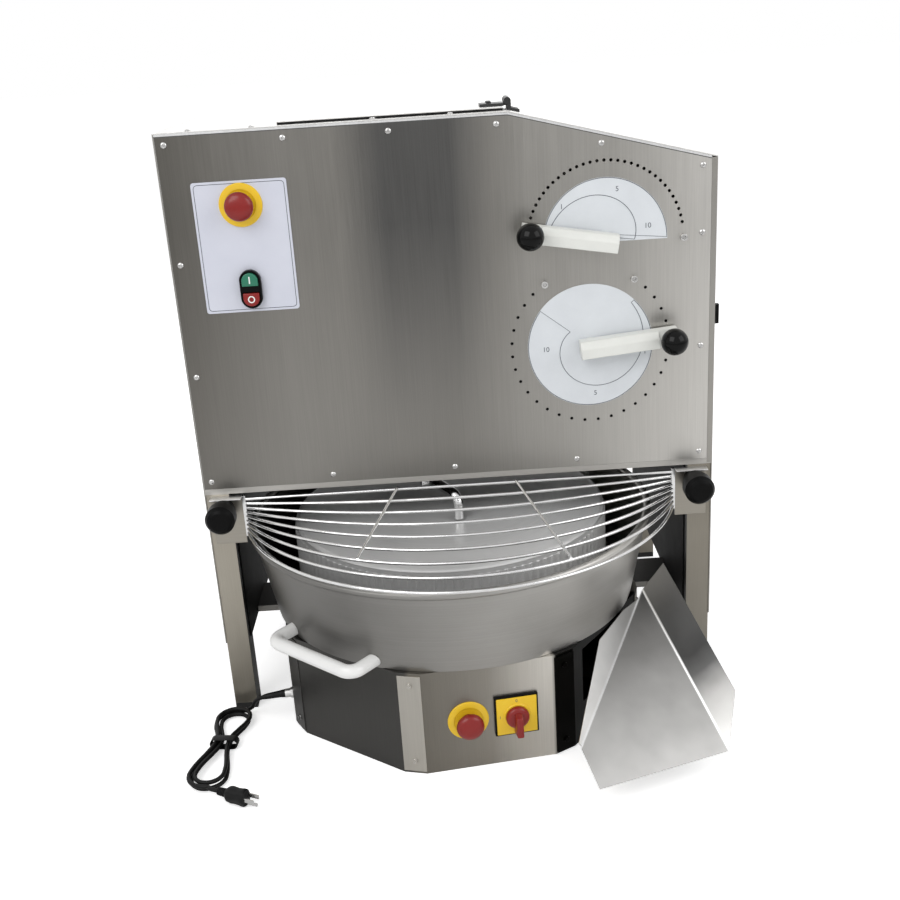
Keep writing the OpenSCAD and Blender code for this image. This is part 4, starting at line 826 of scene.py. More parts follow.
class Shop:
    """Modelling steps on Blender's operators, shared by all the pieces."""

    WELD = 0.002
    PRINT_T = 0.06
    NEAR = 0.01

    def __init__(self) -> None:
        """Start with no materials made."""
        self.made: dict[str, bpy.types.Material] = {}

    def finish(self, key: str) -> bpy.types.Material:
        """Give a finish's material, made on first use.

        Args:
            key: Key of the finish.

        Returns:
            The material.
        """
        if key not in self.made:
            self.made[key] = FINISHES[key].make()
        return self.made[key]

    def dress(self, piece: bpy.types.Object, key: str) -> None:
        """Give a piece one finish all over."""
        piece.data.materials.clear()
        piece.data.materials.append(self.finish(key))

    @staticmethod
    def alone(piece: Optional[bpy.types.Object] = None) -> None:
        """Select only this piece, or nothing.

        Args:
            piece: The piece to select, or nothing where left out.
        """
        if bpy.context.object and bpy.context.object.mode == "EDIT":
            bpy.ops.object.mode_set(mode="OBJECT")
        bpy.ops.object.select_all(action="DESELECT")
        if piece is not None:
            piece.select_set(True)
            bpy.context.view_layer.objects.active = piece

    @classmethod
    def cylinder(cls, radius: float, low: float, high: float, sides: int = 48) -> bpy.types.Object:
        """Add a cylinder about Z between two heights, in millimetres.

        Args:
            radius: Its radius.
            low: Height of its lower end.
            high: Height of its upper end.
            sides: Sides of the round.

        Returns:
            The cylinder.
        """
        cls.alone()
        bpy.ops.mesh.primitive_cylinder_add(vertices=sides, radius=radius * MM, depth=(high - low) * MM,
                                            location=(0, 0, (high + low) / 2 * MM))
        return cls.settled(bpy.context.object)

    @classmethod
    def block(cls, low: Place, high: Place) -> bpy.types.Object:
        """Add a block between two corners, in millimetres.

        Args:
            low: The corner with the lowest values.
            high: The opposite corner.

        Returns:
            The block.
        """
        cls.alone()
        middle = [(a + b) / 2 * MM for a, b in zip(low, high)]
        bpy.ops.mesh.primitive_cube_add(size=1.0, location=middle)
        piece = bpy.context.object
        piece.scale = [(b - a) * MM for a, b in zip(low, high)]
        return cls.settled(piece)

    @classmethod
    def settled(cls, piece: bpy.types.Object) -> bpy.types.Object:
        """Put a piece's place, turn and scale into its mesh.

        Args:
            piece: The piece.

        Returns:
            The piece, with its own origin at the frame's.
        """
        cls.alone(piece)
        bpy.ops.object.transform_apply(location=True, rotation=True, scale=True)
        return piece

    @classmethod
    def turned(cls, profile: Sequence[Pair], steps: int = 48) -> bpy.types.Object:
        """Spin a profile about Z.

        Args:
            profile: Radius and height of each point in millimetres, from axis to axis or round to its start.
            steps: Steps in the full turn.

        Returns:
            The closed piece.
        """
        cls.alone()
        bpy.ops.mesh.primitive_plane_add(size=MM, location=(0, 0, 0))
        piece = bpy.context.object
        bpy.ops.object.mode_set(mode="EDIT")
        bpy.ops.mesh.select_all(action="SELECT")
        bpy.ops.mesh.merge(type="CENTER")
        last = (0.0, 0.0)
        for number, (radius, height) in enumerate(profile):
            step = ((radius - last[0]) * MM, 0, (height - last[1]) * MM)
            if number == 0:
                bpy.ops.transform.translate(value=step)
            else:
                bpy.ops.mesh.extrude_vertices_move(TRANSFORM_OT_translate={"value": step})
            last = (radius, height)
        bpy.ops.mesh.select_all(action="SELECT")
        bpy.ops.mesh.spin(steps=steps, angle=2 * math.pi, center=(0, 0, 0), axis=(0, 0, 1))
        bpy.ops.mesh.select_all(action="SELECT")
        bpy.ops.mesh.remove_doubles(threshold=cls.WELD * MM)
        bpy.ops.mesh.normals_make_consistent(inside=False)
        bpy.ops.object.mode_set(mode="OBJECT")
        return piece

    @classmethod
    def pick(cls, piece: bpy.types.Object, test: Test, faces: bool = False) -> None:
        """Select points, or faces, in edit mode.

        Args:
            piece: The piece to edit.
            test: Takes a place in millimetres and a normal, and says whether to select.
            faces: Whether faces are selected by their middles.
        """
        cls.alone(piece)
        bpy.ops.object.mode_set(mode="EDIT")
        bpy.ops.mesh.select_mode(type="FACE" if faces else "VERT")
        bpy.ops.mesh.select_all(action="DESELECT")
        shell = bmesh.from_edit_mesh(piece.data)
        for part in (shell.faces if faces else shell.verts):
            spot = part.calc_center_median() if faces else part.co
            part.select_set(test(spot / MM, part.normal))
        bmesh.update_edit_mesh(piece.data)

    @classmethod
    def shift(cls, piece: bpy.types.Object, test: Test, by: Sequence[float]) -> None:
        """Move the points that pass a test, by millimetres.

        Args:
            piece: The piece to edit.
            test: Test of a point's place and normal.
            by: The move in millimetres.
        """
        cls.pick(piece, test)
        bpy.ops.transform.translate(value=[v * MM for v in by])
        bpy.ops.object.mode_set(mode="OBJECT")

    @classmethod
    def oval(cls, radius: float, half: float, low: float, high: float, sides: int = 48,
             axis: int = 1) -> bpy.types.Object:
        """Add an oval block: a cylinder about Z, drawn out to both sides.

        Args:
            radius: Radius of its ends in millimetres.
            half: Half the distance of the ends' middles.
            low: Its lower end.
            high: Its upper end.
            sides: Sides of the round.
            axis: Axis along which it is drawn out, 0 for X and 1 for Y.

        Returns:
            The block.
        """
        piece = cls.cylinder(radius, low, high, sides)
        for side in (1, -1):
            by = [0.0, 0.0, 0.0]
            by[axis] = side * half
            cls.shift(piece, lambda p, n: p[axis] * side > cls.NEAR, by)
        return piece

    @classmethod
    def sunk(cls, piece: bpy.types.Object, test: Test, rim: float, drop: Place) -> None:
        """Inset the faces that pass a test and push them in.

        Args:
            piece: The piece to edit.
            test: Test of a face's middle and normal.
            rim: Width of the rim that stays, in millimetres.
            drop: Move of the inset face, in millimetres.
        """
        cls.pick(piece, test, faces=True)
        bpy.ops.mesh.inset(thickness=rim * MM, depth=0.0)
        bpy.ops.mesh.extrude_region_move(TRANSFORM_OT_translate={"value": [v * MM for v in drop]})
        bpy.ops.object.mode_set(mode="OBJECT")

    @classmethod
    def bevelled(cls, piece: bpy.types.Object, width: float, segments: int = 2,
                 angle: float = 40.0) -> bpy.types.Object:
        """Round the sharp edges with an applied Bevel modifier.

        Args:
            piece: The piece to edit.
            width: Width of the rounding in millimetres.
            segments: Steps across the rounding.
            angle: Angle from which an edge counts as sharp, in degrees.

        Returns:
            The piece.
        """
        cls.alone(piece)
        step = piece.modifiers.new("round", "BEVEL")
        step.width = width * MM
        step.segments = segments
        step.limit_method = "ANGLE"
        step.angle_limit = math.radians(angle)
        bpy.ops.object.modifier_apply(modifier=step.name)
        return piece

    @classmethod
    def cut(cls, piece: bpy.types.Object, tools: Sequence[bpy.types.Object]) -> bpy.types.Object:
        """Cut tools out of a piece and remove them.

        Args:
            piece: The piece to cut.
            tools: The shapes to cut out, which are used up.

        Returns:
            The piece.
        """
        for tool in tools:
            cls.alone(piece)
            step = piece.modifiers.new("cut", "BOOLEAN")
            step.operation = "DIFFERENCE"
            step.solver = "EXACT"
            step.object = tool
            bpy.ops.object.modifier_apply(modifier=step.name)
            bpy.data.objects.remove(tool)
        return piece

    @classmethod
    def copies(cls, piece: bpy.types.Object, places: Sequence[Matrix]) -> bpy.types.Object:
        """Copy a piece to several places and join the copies.

        Args:
            piece: The pattern, which is used up.
            places: Matrix of each copy.

        Returns:
            One piece that holds all the copies.
        """
        made = []
        for place in places:
            twin = piece.copy()
            twin.data = piece.data.copy()
            bpy.context.scene.collection.objects.link(twin)
            twin.matrix_world = place
            made.append(cls.settled(twin))
        bpy.data.objects.remove(piece)
        return cls.joined(made)

    @classmethod
    def meshed(cls, piece: bpy.types.Object) -> bpy.types.Object:
        """Turn a text or curve into a mesh.

        Args:
            piece: The text or curve.

        Returns:
            The mesh piece.
        """
        cls.alone(piece)
        bpy.ops.object.convert(target="MESH")
        return bpy.context.object

    @classmethod
    def line(cls, points: Sequence[Place], width: float, closed: bool = False) -> bpy.types.Object:
        """Draw a thin round line through points, in millimetres, as a mesh.

        Args:
            points: The points.
            width: Width of the line.
            closed: Whether the last point joins the first.

        Returns:
            The mesh piece.
        """
        curve = bpy.data.curves.new("line", "CURVE")
        curve.dimensions = "3D"
        curve.bevel_depth = width / 2 * MM
        curve.bevel_resolution = 1
        spline = curve.splines.new("POLY")
        spline.points.add(len(points) - 1)
        for point, spot in zip(spline.points, points):
            point.co = (spot[0] * MM, spot[1] * MM, spot[2] * MM, 1.0)
        spline.use_cyclic_u = closed
        piece = bpy.data.objects.new("line", curve)
        bpy.context.scene.collection.objects.link(piece)
        return cls.meshed(piece)

    @classmethod
    def words(cls, what: str, size: float, spot: Place) -> bpy.types.Object:
        """Draw a number as a thin mesh; lengths are in millimetres.

        Args:
            what: The number.
            size: Height of its line.
            spot: Place of its middle.

        Returns:
            The mesh piece.
        """
        cls.alone()
        bpy.ops.object.text_add(location=(0, 0, 0))
        piece = bpy.context.object
        piece.data.body = what
        piece.data.size = size * MM
        piece.data.extrude = cls.PRINT_T * MM
        piece.data.align_x = "CENTER"
        piece.data.align_y = "CENTER"
        piece = cls.meshed(piece)
        piece.location = [v * MM for v in spot]
        return cls.settled(piece)

    @classmethod
    def joined(cls, parts: Sequence[bpy.types.Object]) -> bpy.types.Object:
        """Join several meshes into the first of them.

        Args:
            parts: The meshes, two or more.

        Returns:
            The first one, which holds them all.
        """
        cls.alone()
        for part in parts:
            part.select_set(True)
        bpy.context.view_layer.objects.active = parts[0]
        bpy.ops.object.join()
        return parts[0]

    def done(self, piece: bpy.types.Object, name: str, key: str, body: str = "frame",
             place: Optional[Matrix] = None, smooth: float = 35.0,
             stands_for: Sequence[str] = ()) -> bpy.types.Object:
        """Place, smooth, dress, name and hand over a finished piece.

        Args:
            piece: The mesh piece.
            name: Its name.
            key: Its finish.
            body: The body it moves with.
            place: Its place, or as modelled where left out.
            smooth: Angle under which edges shade smoothly, in degrees.
            stands_for: The nodes that it replaces.

        Returns:
            The piece.
        """
        if place is not None:
            piece.matrix_world = place
            self.settled(piece)
        self.alone(piece)
        bpy.ops.object.shade_smooth_by_angle(angle=math.radians(smooth))
        piece.name = name
        piece.data.name = name
        self.dress(piece, key)
        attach(piece, body)
        if stands_for:
            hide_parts(*stands_for)
        LOG.info("piece %s: %d faces", name, len(piece.data.polygons))
        return piece


@dataclass
class Studio:
    """Camera, floor and soft light."""

    spot: Place = (0.0094, -1.673, 1.0051)
    ahead: Place = (-0.00155, 0.93859, -0.34504)
    up: Place = (0.0640, 0.3444, 0.9366)
    lens: float = 45.50
    sensor: float = 36.0
    far: float = 200.0
    floor_size: float = 60.0
    floor_drop: float = 0.0004
    floor_glow: Colour = grey(190)
    room_light: float = 0.52
    aim: Place = (0, 0, 0.5)
    lamps: tuple[tuple[str, Place, float, float], ...] = (
        ("key_lamp", (-1.5, -2.1, 2.6), 2.2, 46.0),
        ("side_lamp", (2.2, -1.3, 1.9), 1.8, 22.0),
        ("back_lamp", (0.3, 2.2, 2.6), 2.2, 24.0),
    )

    def build(self) -> None:
        """Make the camera, the floor, the world and the lamps."""
        self.add_camera()
        self.add_floor()
        self.add_world()
        for lamp in self.lamps:
            self.add_lamp(*lamp)

    def add_camera(self) -> None:
        """Put the camera where the photograph was taken from."""
        data = bpy.data.cameras.new("view")
        data.lens = self.lens
        data.sensor_width = self.sensor
        data.sensor_fit = "HORIZONTAL"
        data.clip_end = self.far
        camera = bpy.data.objects.new("view", data)
        bpy.context.scene.collection.objects.link(camera)
        back = -Vector(self.ahead).normalized()
        right = Vector(self.up).cross(back).normalized()
        top = back.cross(right)
        turn = Matrix((right, top, back)).transposed().to_4x4()
        camera.matrix_world = Matrix.Translation(Vector(self.spot)) @ turn
        bpy.context.scene.camera = camera

    def add_floor(self) -> None:
        """Lay a white floor that keeps the shadow."""
        Shop.alone()
        bpy.ops.mesh.primitive_plane_add(size=self.floor_size, location=(0, 0, -self.floor_drop))
        floor = bpy.context.object
        floor.name = "floor"
        kit = Kit("floor_white")
        wear = kit.noise(even(2))
        seen = kit.node("ShaderNodeLightPath", {}, {}).outputs["Is Camera Ray"]
        kit.dress({"Base Color": kit.mix(wear, grey(250), grey(254)), "Roughness": 0.9,
                   "Specular IOR Level": 0.0, "Emission Color": kit.mix(seen, grey(0), self.floor_glow),
                   "Emission Strength": 1.0})
        floor.data.materials.append(kit.material)

    def add_world(self) -> None:
        """Light all round, white where it is seen directly or in a reflection."""
        world = bpy.data.worlds.new("soft_room")
        bpy.context.scene.world = world
        world.use_nodes = True
        room = Nodes(world.node_tree)
        path = room.node("ShaderNodeLightPath", {}, {}).outputs
        seen = room.math("MAXIMUM", path["Is Camera Ray"], path["Is Glossy Ray"])
        seen = room.math("MAXIMUM", seen, path["Is Transmission Ray"])
        level = room.node("ShaderNodeMapRange", {}, {"Value": seen, "To Min": self.room_light, "To Max": 1.0})
        sky = room.node("ShaderNodeBackground", {}, {"Color": grey(255), "Strength": level.outputs[0]})
        room.node("ShaderNodeOutputWorld", {}, {"Surface": sky.outputs[0]})

    def add_lamp(self, name: str, spot: Place, size: float, power: float) -> None:
        """Hang one soft lamp that looks at the machine.

        Args:
            name: Its name.
            spot: Its place.
            size: Side of its square in metres.
            power: Its power in watts.
        """
        data = bpy.data.lights.new(name, "AREA")
        data.shape = "SQUARE"
        data.size = size
        data.energy = power
        lamp = bpy.data.objects.new(name, data)
        bpy.context.scene.collection.objects.link(lamp)
        back = (Vector(spot) - Vector(self.aim)).normalized()
        turn = back.to_track_quat("Z", "Y").to_matrix().to_4x4()
        lamp.matrix_world = Matrix.Translation(Vector(spot)) @ turn


@dataclass
class MainsLead:
    """The lead: out of its gland, down to a tied hank on the floor, and its plug."""

    thick: float = 6.5
    lay: float = 4.85
    start: Pair = (-359, -128.5)
    end: Pair = (-374, -272)
    radius: float = 30.0
    step: float = 9.6
    turns: int = 1
    waist: float = 15.5
    tie_share: float = 0.42
    bend_share: float = 0.2
    run_share: float = 0.3
    layer: float = 7.0
    rings: int = 24
    gland_face: int = -2
    gland_x: float = 80.0
    gland_z: float = 46.0
    gland_out: float = 14.0
    plug_start: Place = (-353, -315, 13)
    plug_turn: float = -26.0
    lead_in: tuple[Place, ...] = ((-303, -125, 45), (-311, -124, 43), (-317, -122, 40), (-322, -119, 36),
                                  (-326, -116, 31), (-329, -112, 25), (-333, -108, 17), (-339, -104, 11),
                                  (-346, -101, 6.5))
    lead_out: tuple[Place, ...] = ((-365, -308, 12),)
    round_steps: int = 4
    sleeve_shares: tuple[float, ...] = (0.0, 0.4, 0.8)
    sleeve_swell: tuple[float, ...] = (1.95, 1.9, 1.85, 1.75, 1.45, 1.15)
    strap_half: float = 7.0
    strap_wall: float = 0.9
    strap_slack: float = 5.825
    strap_gap: float = 1.4
    strap_round: float = 0.4
    strap_over: float = 2.0
    sides: int = 40
    neck_ribs: int = 5
    neck_pitch: float = 2.6
    neck_rib: tuple[Pair, ...] = ((5.6, 0.8), (5.6, 2.0), (4.6, 2.3))
    neck_swell: tuple[float, ...] = (0.18, 0.18, 0.2)
    plug_body: Profile = ((8.6, 16), (11.2, 19.5), (12.2, 24), (11.4, 31), (11.6, 37), (12.5, 42),
                          (12.5, 46.4), (11.6, 48), (0, 48))
    flat_from: Pair = (8.6, 20.0)
    flat_by: float = 1.6

    def last_turn(self) -> float:
        """Give the number of turns that the hank has in its two layers."""
        return 2 * self.turns + 0.5

    def loop(self, turn: float) -> Place:
        """Give the hank's point after a number of turns, in millimetres.

        A turn starts in the middle of one bend and has a run, the other bend and a run back.

        Args:
            turn: Number of turns from the hank's start.

        Returns:
            The point.
        """
        a, b = Vector(self.start), Vector(self.end)
        length = (b - a).length
        along = (b - a) / length
        side = Vector((-along[1], along[0]))
        size = self.radius - self.step * min(turn, self.turns, self.last_turn() - turn)
        part = turn % 1.0
        half = self.bend_share / 2
        ends = (half, half + self.run_share, 3 * half + self.run_share, 3 * half + 2 * self.run_share)
        if part < ends[0]:
            bow = RIGHT_ANGLE * part / half
            s, w = -size * math.cos(bow), -size * math.sin(bow)
        elif part < ends[1]:
            s, w = (part - ends[0]) / self.run_share * length, -size
        elif part < ends[2]:
            bow = RIGHT_ANGLE * (part - ends[1]) / half
            s, w = length + size * math.sin(bow), -size * math.cos(bow)
        elif part < ends[3]:
            s, w = length - (part - ends[2]) / self.run_share * length, size
        else:
            bow = RIGHT_ANGLE * (part - ends[3]) / half
            s, w = -size * math.sin(bow), size * math.cos(bow)
        if 0 < s < length:
            w -= math.copysign(self.waist * self.pinch(s / length), w)
        lift = min(max((turn - self.turns - half) / self.run_share, 0.0), 1.0)
        spot = a + s * along + w * side
        return (spot[0], spot[1], self.lay + self.layer * lift * lift * (3 - 2 * lift))

    def pinch(self, share: float) -> float:
        """Give how far the strap draws the hank in.

        Args:
            share: Share of the hank's length.

        Returns:
            Share of the waist, 1 at the strap.
        """
        if share < self.tie_share:
            swing = share / self.tie_share / 2
        else:
            swing = 0.5 + (share - self.tie_share) / (1 - self.tie_share) / 2
        return (1 - math.cos(2 * math.pi * swing)) / 2

    def route(self) -> list[Vector]:
        """Give the lead's whole route in metres.

        Returns:
            The points from the gland to the plug.
        """
        out = on_base(self.gland_face, self.gland_x, self.gland_z, self.gland_out)
        tip = out.translation / MM
        away = (out.to_3x3() @ Vector((0, 0, 1))).normalized()
        count = int(self.last_turn() * self.rings) + 1
        hank = [Vector(self.loop(i / self.rings)) for i in range(count)]
        run = (Vector(self.end) - Vector(self.start)).normalized()
        side = Vector((-run[1], run[0], 0)) * self.thick
        turn = math.radians(self.plug_turn)
        plug = Vector((math.cos(turn), math.sin(turn), 0)) * self.thick
        points = [tip, tip + away * self.thick, *map(Vector, self.lead_in), hank[0] + side, *hank,
                  hank[-1] + side, *map(Vector, self.lead_out), Vector(self.plug_start) - plug,
                  Vector(self.plug_start)]
        return [p * MM for p in points]

    def curve(self, points: Sequence[Vector], name: str, swell: Sequence[float] = ()) -> bpy.types.Object:
        """Make a round curve through points.

        Args:
            points: The route in metres.
            name: Name of the piece.
            swell: Thickness at each point as a share of the lead's, or 1 all along where left out.

        Returns:
            The curve object.
        """
        data = bpy.data.curves.new(name, "CURVE")
        data.dimensions = "3D"
        data.bevel_depth = self.thick / 2 * MM
        data.bevel_resolution = self.round_steps
        data.resolution_u = self.round_steps
        data.use_fill_caps = True
        spline = data.splines.new("BEZIER")
        spline.bezier_points.add(len(points) - 1)
        for number, (point, spot) in enumerate(zip(spline.bezier_points, points)):
            point.co = spot
            point.handle_left_type = point.handle_right_type = "AUTO"
            point.radius = swell[number] if swell else 1.0
        piece = bpy.data.objects.new(name, data)
        bpy.context.scene.collection.objects.link(piece)
        return piece

    def build(self, shop: Shop) -> None:
        """Make the lead with its sleeve, tie and plug.

        Args:
            shop: The modelling steps.
        """
        points = self.route()
        lead = self.curve(points, "mains_lead")
        shop.dress(lead, "cord")
        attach(lead, "frame")
        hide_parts("power_cord", "cord_hank")
        bpy.context.view_layer.update()
        plug = self.plug(shop)
        tie = self.tie(shop)
        self.sleeve(shop, points)

    def sleeve(self, shop: Shop, points: Sequence[Vector]) -> None:
        """Add the tapered sleeve where the lead leaves its gland.

        Args:
            shop: The modelling steps.
            points: The lead's route in metres.
        """
        run = [points[0].lerp(points[1], share) for share in self.sleeve_shares] + list(points[1:4])
        piece = shop.meshed(self.curve(run, "lead_sleeve", self.sleeve_swell))
        shop.done(piece, "lead_sleeve", "cord")

    def tie(self, shop: Shop) -> bpy.types.Object:
        """Wrap the strap round the waist of the hank.

        Args:
            shop: The modelling steps.

        Returns:
            The strap.
        """
        wide = 2 * (self.radius - self.waist) + self.thick + self.strap_slack
        high = self.layer + self.thick + self.strap_gap
        draw = (wide - high) / 2
        half, over = self.strap_half, self.strap_half + self.strap_over
        piece = shop.oval(high / 2 + self.strap_wall, draw, -half, half, self.sides, axis=0)
        shop.cut(piece, [shop.oval(high / 2, draw, -over, over, self.sides, axis=0)])
        shop.bevelled(piece, self.strap_round, angle=60)
        a, b = Vector((*self.start, 0)), Vector((*self.end, 0))
        middle = a.lerp(b, self.tie_share) * MM + Vector((0, 0, (self.lay + self.layer / 2) * MM))
        turn = math.atan2((b - a)[1], (b - a)[0])
        place = (Matrix.Translation(middle) @ Matrix.Rotation(turn, 4, "Z")
                 @ Matrix.Rotation(RIGHT_ANGLE, 4, "X") @ Matrix.Rotation(RIGHT_ANGLE, 4, "Y"))
        return shop.done(piece, "hank_strap", "cord", place=place, smooth=40,
                         stands_for=["cord_tie"])

    def plug(self, shop: Shop) -> bpy.types.Object:
        """Mould the plug with its ribbed neck and two flat sides.

        Args:
            shop: The modelling steps.

        Returns:
            The plug.
        """
        profile: list[Pair] = [(0, 0), (self.neck_rib[-1][0], 0)]
        for i in range(self.neck_ribs):
            profile += [(r + grow * i, z + self.neck_pitch * i)
                        for (r, z), grow in zip(self.neck_rib, self.neck_swell)]
        piece = shop.turned([*profile, *self.plug_body], steps=self.sides)
        for side in (1, -1):
            shop.shift(piece, lambda p, n: p.y * side > self.flat_from[0] and p.z > self.flat_from[1],
                       (0, -side * self.flat_by, 0))
        place = (Matrix.Translation(Vector(self.plug_start) * MM)
                 @ Matrix.Rotation(math.radians(self.plug_turn), 4, "Z")
                 @ Matrix.Rotation(RIGHT_ANGLE, 4, "Y"))
        return shop.done(piece, "moulded_plug", "cord", place=place, smooth=40,
                         stands_for=["plug"])


@dataclass
class Screws:
    """Pan-head screws with a cross recess, on the cover, the roof and the base's strips."""

    head: float = 8.5
    high: float = 2.6
    pan_shares: Profile = ((0, 1), (0.45, 0.96), (0.8, 0.76), (1, 0.38))
    sink: float = 0.2
    recess: Place = (2.5, 0.55, 1.5)
    recess_top: float = 4.0
    spin: float = 0.7
    roof_spin: int = 3
    left: float = -368.2
    right: float = 361.8
    low: float = 394.7
    step: float = 163.1
    row_count: int = 5
    left_count: int = 3
    right_count: int = 2
    top_places: Profile = ((361.8, 812.7), (-207.8, 884.0), (-64.9, 884.0), (81.0, 884.0), (222.5, 850.5))
    roof_places: tuple[float, ...] = (-334, -248, -85, 20)
    roof_in: float = 5.0
    strip_wide: float = 34.0
    strip_t: float = 1.5
    strip_heights: tuple[float, ...] = (20.0, 145.0)
    strip_scale: float = 1.04

    def pan(self, shop: Shop) -> bpy.types.Object:
        """Model one pan-head screw with its cross recess.

        Args:
            shop: The modelling steps.

        Returns:
            The screw, with its head upwards.
        """
        r = self.head / 2
        dome = [(across * r, up * self.high) for across, up in self.pan_shares]
        piece = shop.turned([*dome, (r, -self.sink), (0, -self.sink)], steps=24)
        long, half, floor = self.recess
        return shop.cut(piece, [shop.block((-long, -half, floor), (long, half, self.recess_top)),
                                shop.block((-half, -long, floor), (half, long, self.recess_top))])

    def spun(self, number: int) -> Matrix:
        """Give the turn of a screw's recess, which differs from screw to screw."""
        return Matrix.Rotation(self.spin * number, 4, "Z")

    def cover_places(self) -> list[Pair]:
        """Give the places of the cover's screws.

        Returns:
            Distances to the right of the head's middle and heights, in millimetres.
        """
        gap = (self.right - self.left) / (self.row_count - 1)
        places = [(self.left + i * gap, self.low) for i in range(self.row_count)]
        places += [(self.left, self.low + (i + 1) * self.step) for i in range(self.left_count)]
        places += [(self.right, self.low + (i + 1) * self.step) for i in range(self.right_count)]
        return places + list(self.top_places)

    def build(self, shop: Shop) -> None:
        """Place all the screws.

        Args:
            shop: The modelling steps.
        """
        places = [on_front(x, z) @ self.spun(i) for i, (x, z) in enumerate(self.cover_places())]
        for i, x in enumerate(self.roof_places):
            spot = Vector((HEAD_SHIFT + x * MM, -SETBACK + self.roof_in * MM, ROOF_Z))
            places.append(Matrix.Translation(spot) @ self.spun(i + self.roof_spin))
        shop.done(shop.copies(self.pan(shop), places), "cover_screw_heads", "screw",
                  stands_for=["cover_screws"])
        self.strip_screws(shop)

    def strip_screws(self, shop: Shop) -> None:
        """Put recessed heads over the plain screws of the strips, apart from the dark one by the chute.

        Args:
            shop: The modelling steps.
        """
        cut = self.strip_wide / (2 * math.tan(RIGHT_ANGLE - EIGHTH / 2))
        reach = BASE_APOTHEM / math.cos(EIGHTH / 2) + (self.strip_t - cut) * MM
        size = Matrix.Scale(self.strip_scale, 4)
        places = [on_base(i + 0.5, 0, z, reach=reach) @ self.spun(2 * i + k) @ size
                  for i in range(1, BASE_FACES) for k, z in enumerate(self.strip_heights)]
        shop.done(shop.copies(self.pan(shop), places), "strip_screw_heads", "screw")


@dataclass
class IndexHoleShade:
    """Thin near-black ring behind the lower row of index holes: painted shade that keeps the holes dark where
    the light behind would show through.
    """

    radius: float = LOWER_INDEX_R
    half: float = 4.5
    back: float = -2.3
    front: float = -1.8

    def build(self, shop: Shop) -> None:
        """Turn the ring.

        Args:
            shop: The modelling steps.
        """
        inner, outer = self.radius - self.half, self.radius + self.half
        profile = [(inner, self.back), (outer, self.back), (outer, self.front), (inner, self.front),
                   (inner, self.back)]
        shop.done(shop.turned(profile, steps=72), "index_backing", "shade",
                  place=on_front(*LOWER_DIAL), smooth=30)


@dataclass
class DialStops:
    """Socket screws that stop the levers."""

    radius: float = 5.0
    high: float = 7.4
    corner: float = 0.5
    socket_r: float = 3.0
    socket_z: Pair = (3.2, 9.0)
    places: tuple[tuple[Pair, float, float], ...] = (
        (UPPER_DIAL, UPPER_STOP_R, -1.0), (LOWER_DIAL, LOWER_INDEX_R, 56.0),
        (LOWER_DIAL, LOWER_INDEX_R, 124.0))

    def build(self, shop: Shop) -> None:
        """Model one screw with its socket and copy it to each place.

        Args:
            shop: The modelling steps.
        """
        piece = shop.cylinder(self.radius, 0, self.high, sides=32)
        shop.bevelled(piece, self.corner)
        shop.cut(piece, [shop.cylinder(self.socket_r, *self.socket_z, sides=6)])
        places = [on_front(*round_place(*spot)) for spot in self.places]
        shop.done(shop.copies(piece, places), "dial_stop_heads", "screw",
                  stands_for=["dial_stop_screws"])


@dataclass
class Dial:
    """Printed lines and numbers of one dial plate."""

    name: str
    middle: Pair
    radius: float
    spiral: tuple[float, float, float, float]
    rim: Pair
    numbers: tuple[tuple[str, float, float], ...]
    thick: float = 1.2
    pen: float = 0.9
    margin: float = 0.8
    text: float = 10.0
    lift: float = 0.05
    steps: int = 48

    def arc(self, a0: float, r0: float, a1: float, r1: float) -> list[Place]:
        """Give the points of an arc whose radius changes evenly.

        Args:
            a0: First angle in degrees.
            r0: First radius in millimetres.
            a1: Last angle in degrees.
            r1: Last radius in millimetres.

        Returns:
            The points, on the plate.
        """
        shares = [i / self.steps for i in range(self.steps + 1)]
        return [(*round_place((0, 0), r0 + (r1 - r0) * k, a0 + (a1 - a0) * k), self.thick) for k in shares]

    def build(self, shop: Shop) -> None:
        """Print the wedge of the setting scale and its numbers.

        Args:
            shop: The modelling steps.
        """
        reach = self.radius - self.margin
        wedge = self.arc(*self.spiral) + self.arc(self.rim[1], reach, self.rim[0], reach)
        parts = [shop.line(wedge, self.pen, True)]
        for what, angle, radius in self.numbers:
            spot = (*round_place((0, 0), radius, angle), self.thick + self.lift)
            parts.append(shop.words(what, self.text, spot))
        shop.done(shop.joined(parts), self.name, "print", place=on_front(*self.middle),
                  smooth=30)


@dataclass
class LeverFace:
    """Chamfered front of one setting lever."""

    node: str
    middle: Pair
    turn: float
    reach: float
    up: int
    tail: float = 16.0
    half: float = 12.5
    front: float = 21.0
    sink: float = 0.2
    proud: float = 6.0
    chamfer: float = 11.0
    corner: float = 0.5

    def build(self, shop: Shop) -> None:
        """Model the bar's front with a wide chamfer along its upper side.

        Args:
            shop: The modelling steps.
        """
        top = self.front + self.proud
        piece = shop.block((-self.tail, -self.half, self.front - self.sink), (self.reach, self.half, top))
        shop.shift(piece, lambda p, n: p.z > self.front + self.proud / 2 and p.y * self.up > 0,
                   (0, -self.chamfer * self.up, 0))
        shop.bevelled(piece, self.corner, angle=20)
        place = on_front(*self.middle) @ Matrix.Rotation(math.radians(self.turn), 4, "Z")
        shop.done(piece, self.node + "_face", "paint", self.node, place, smooth=20)


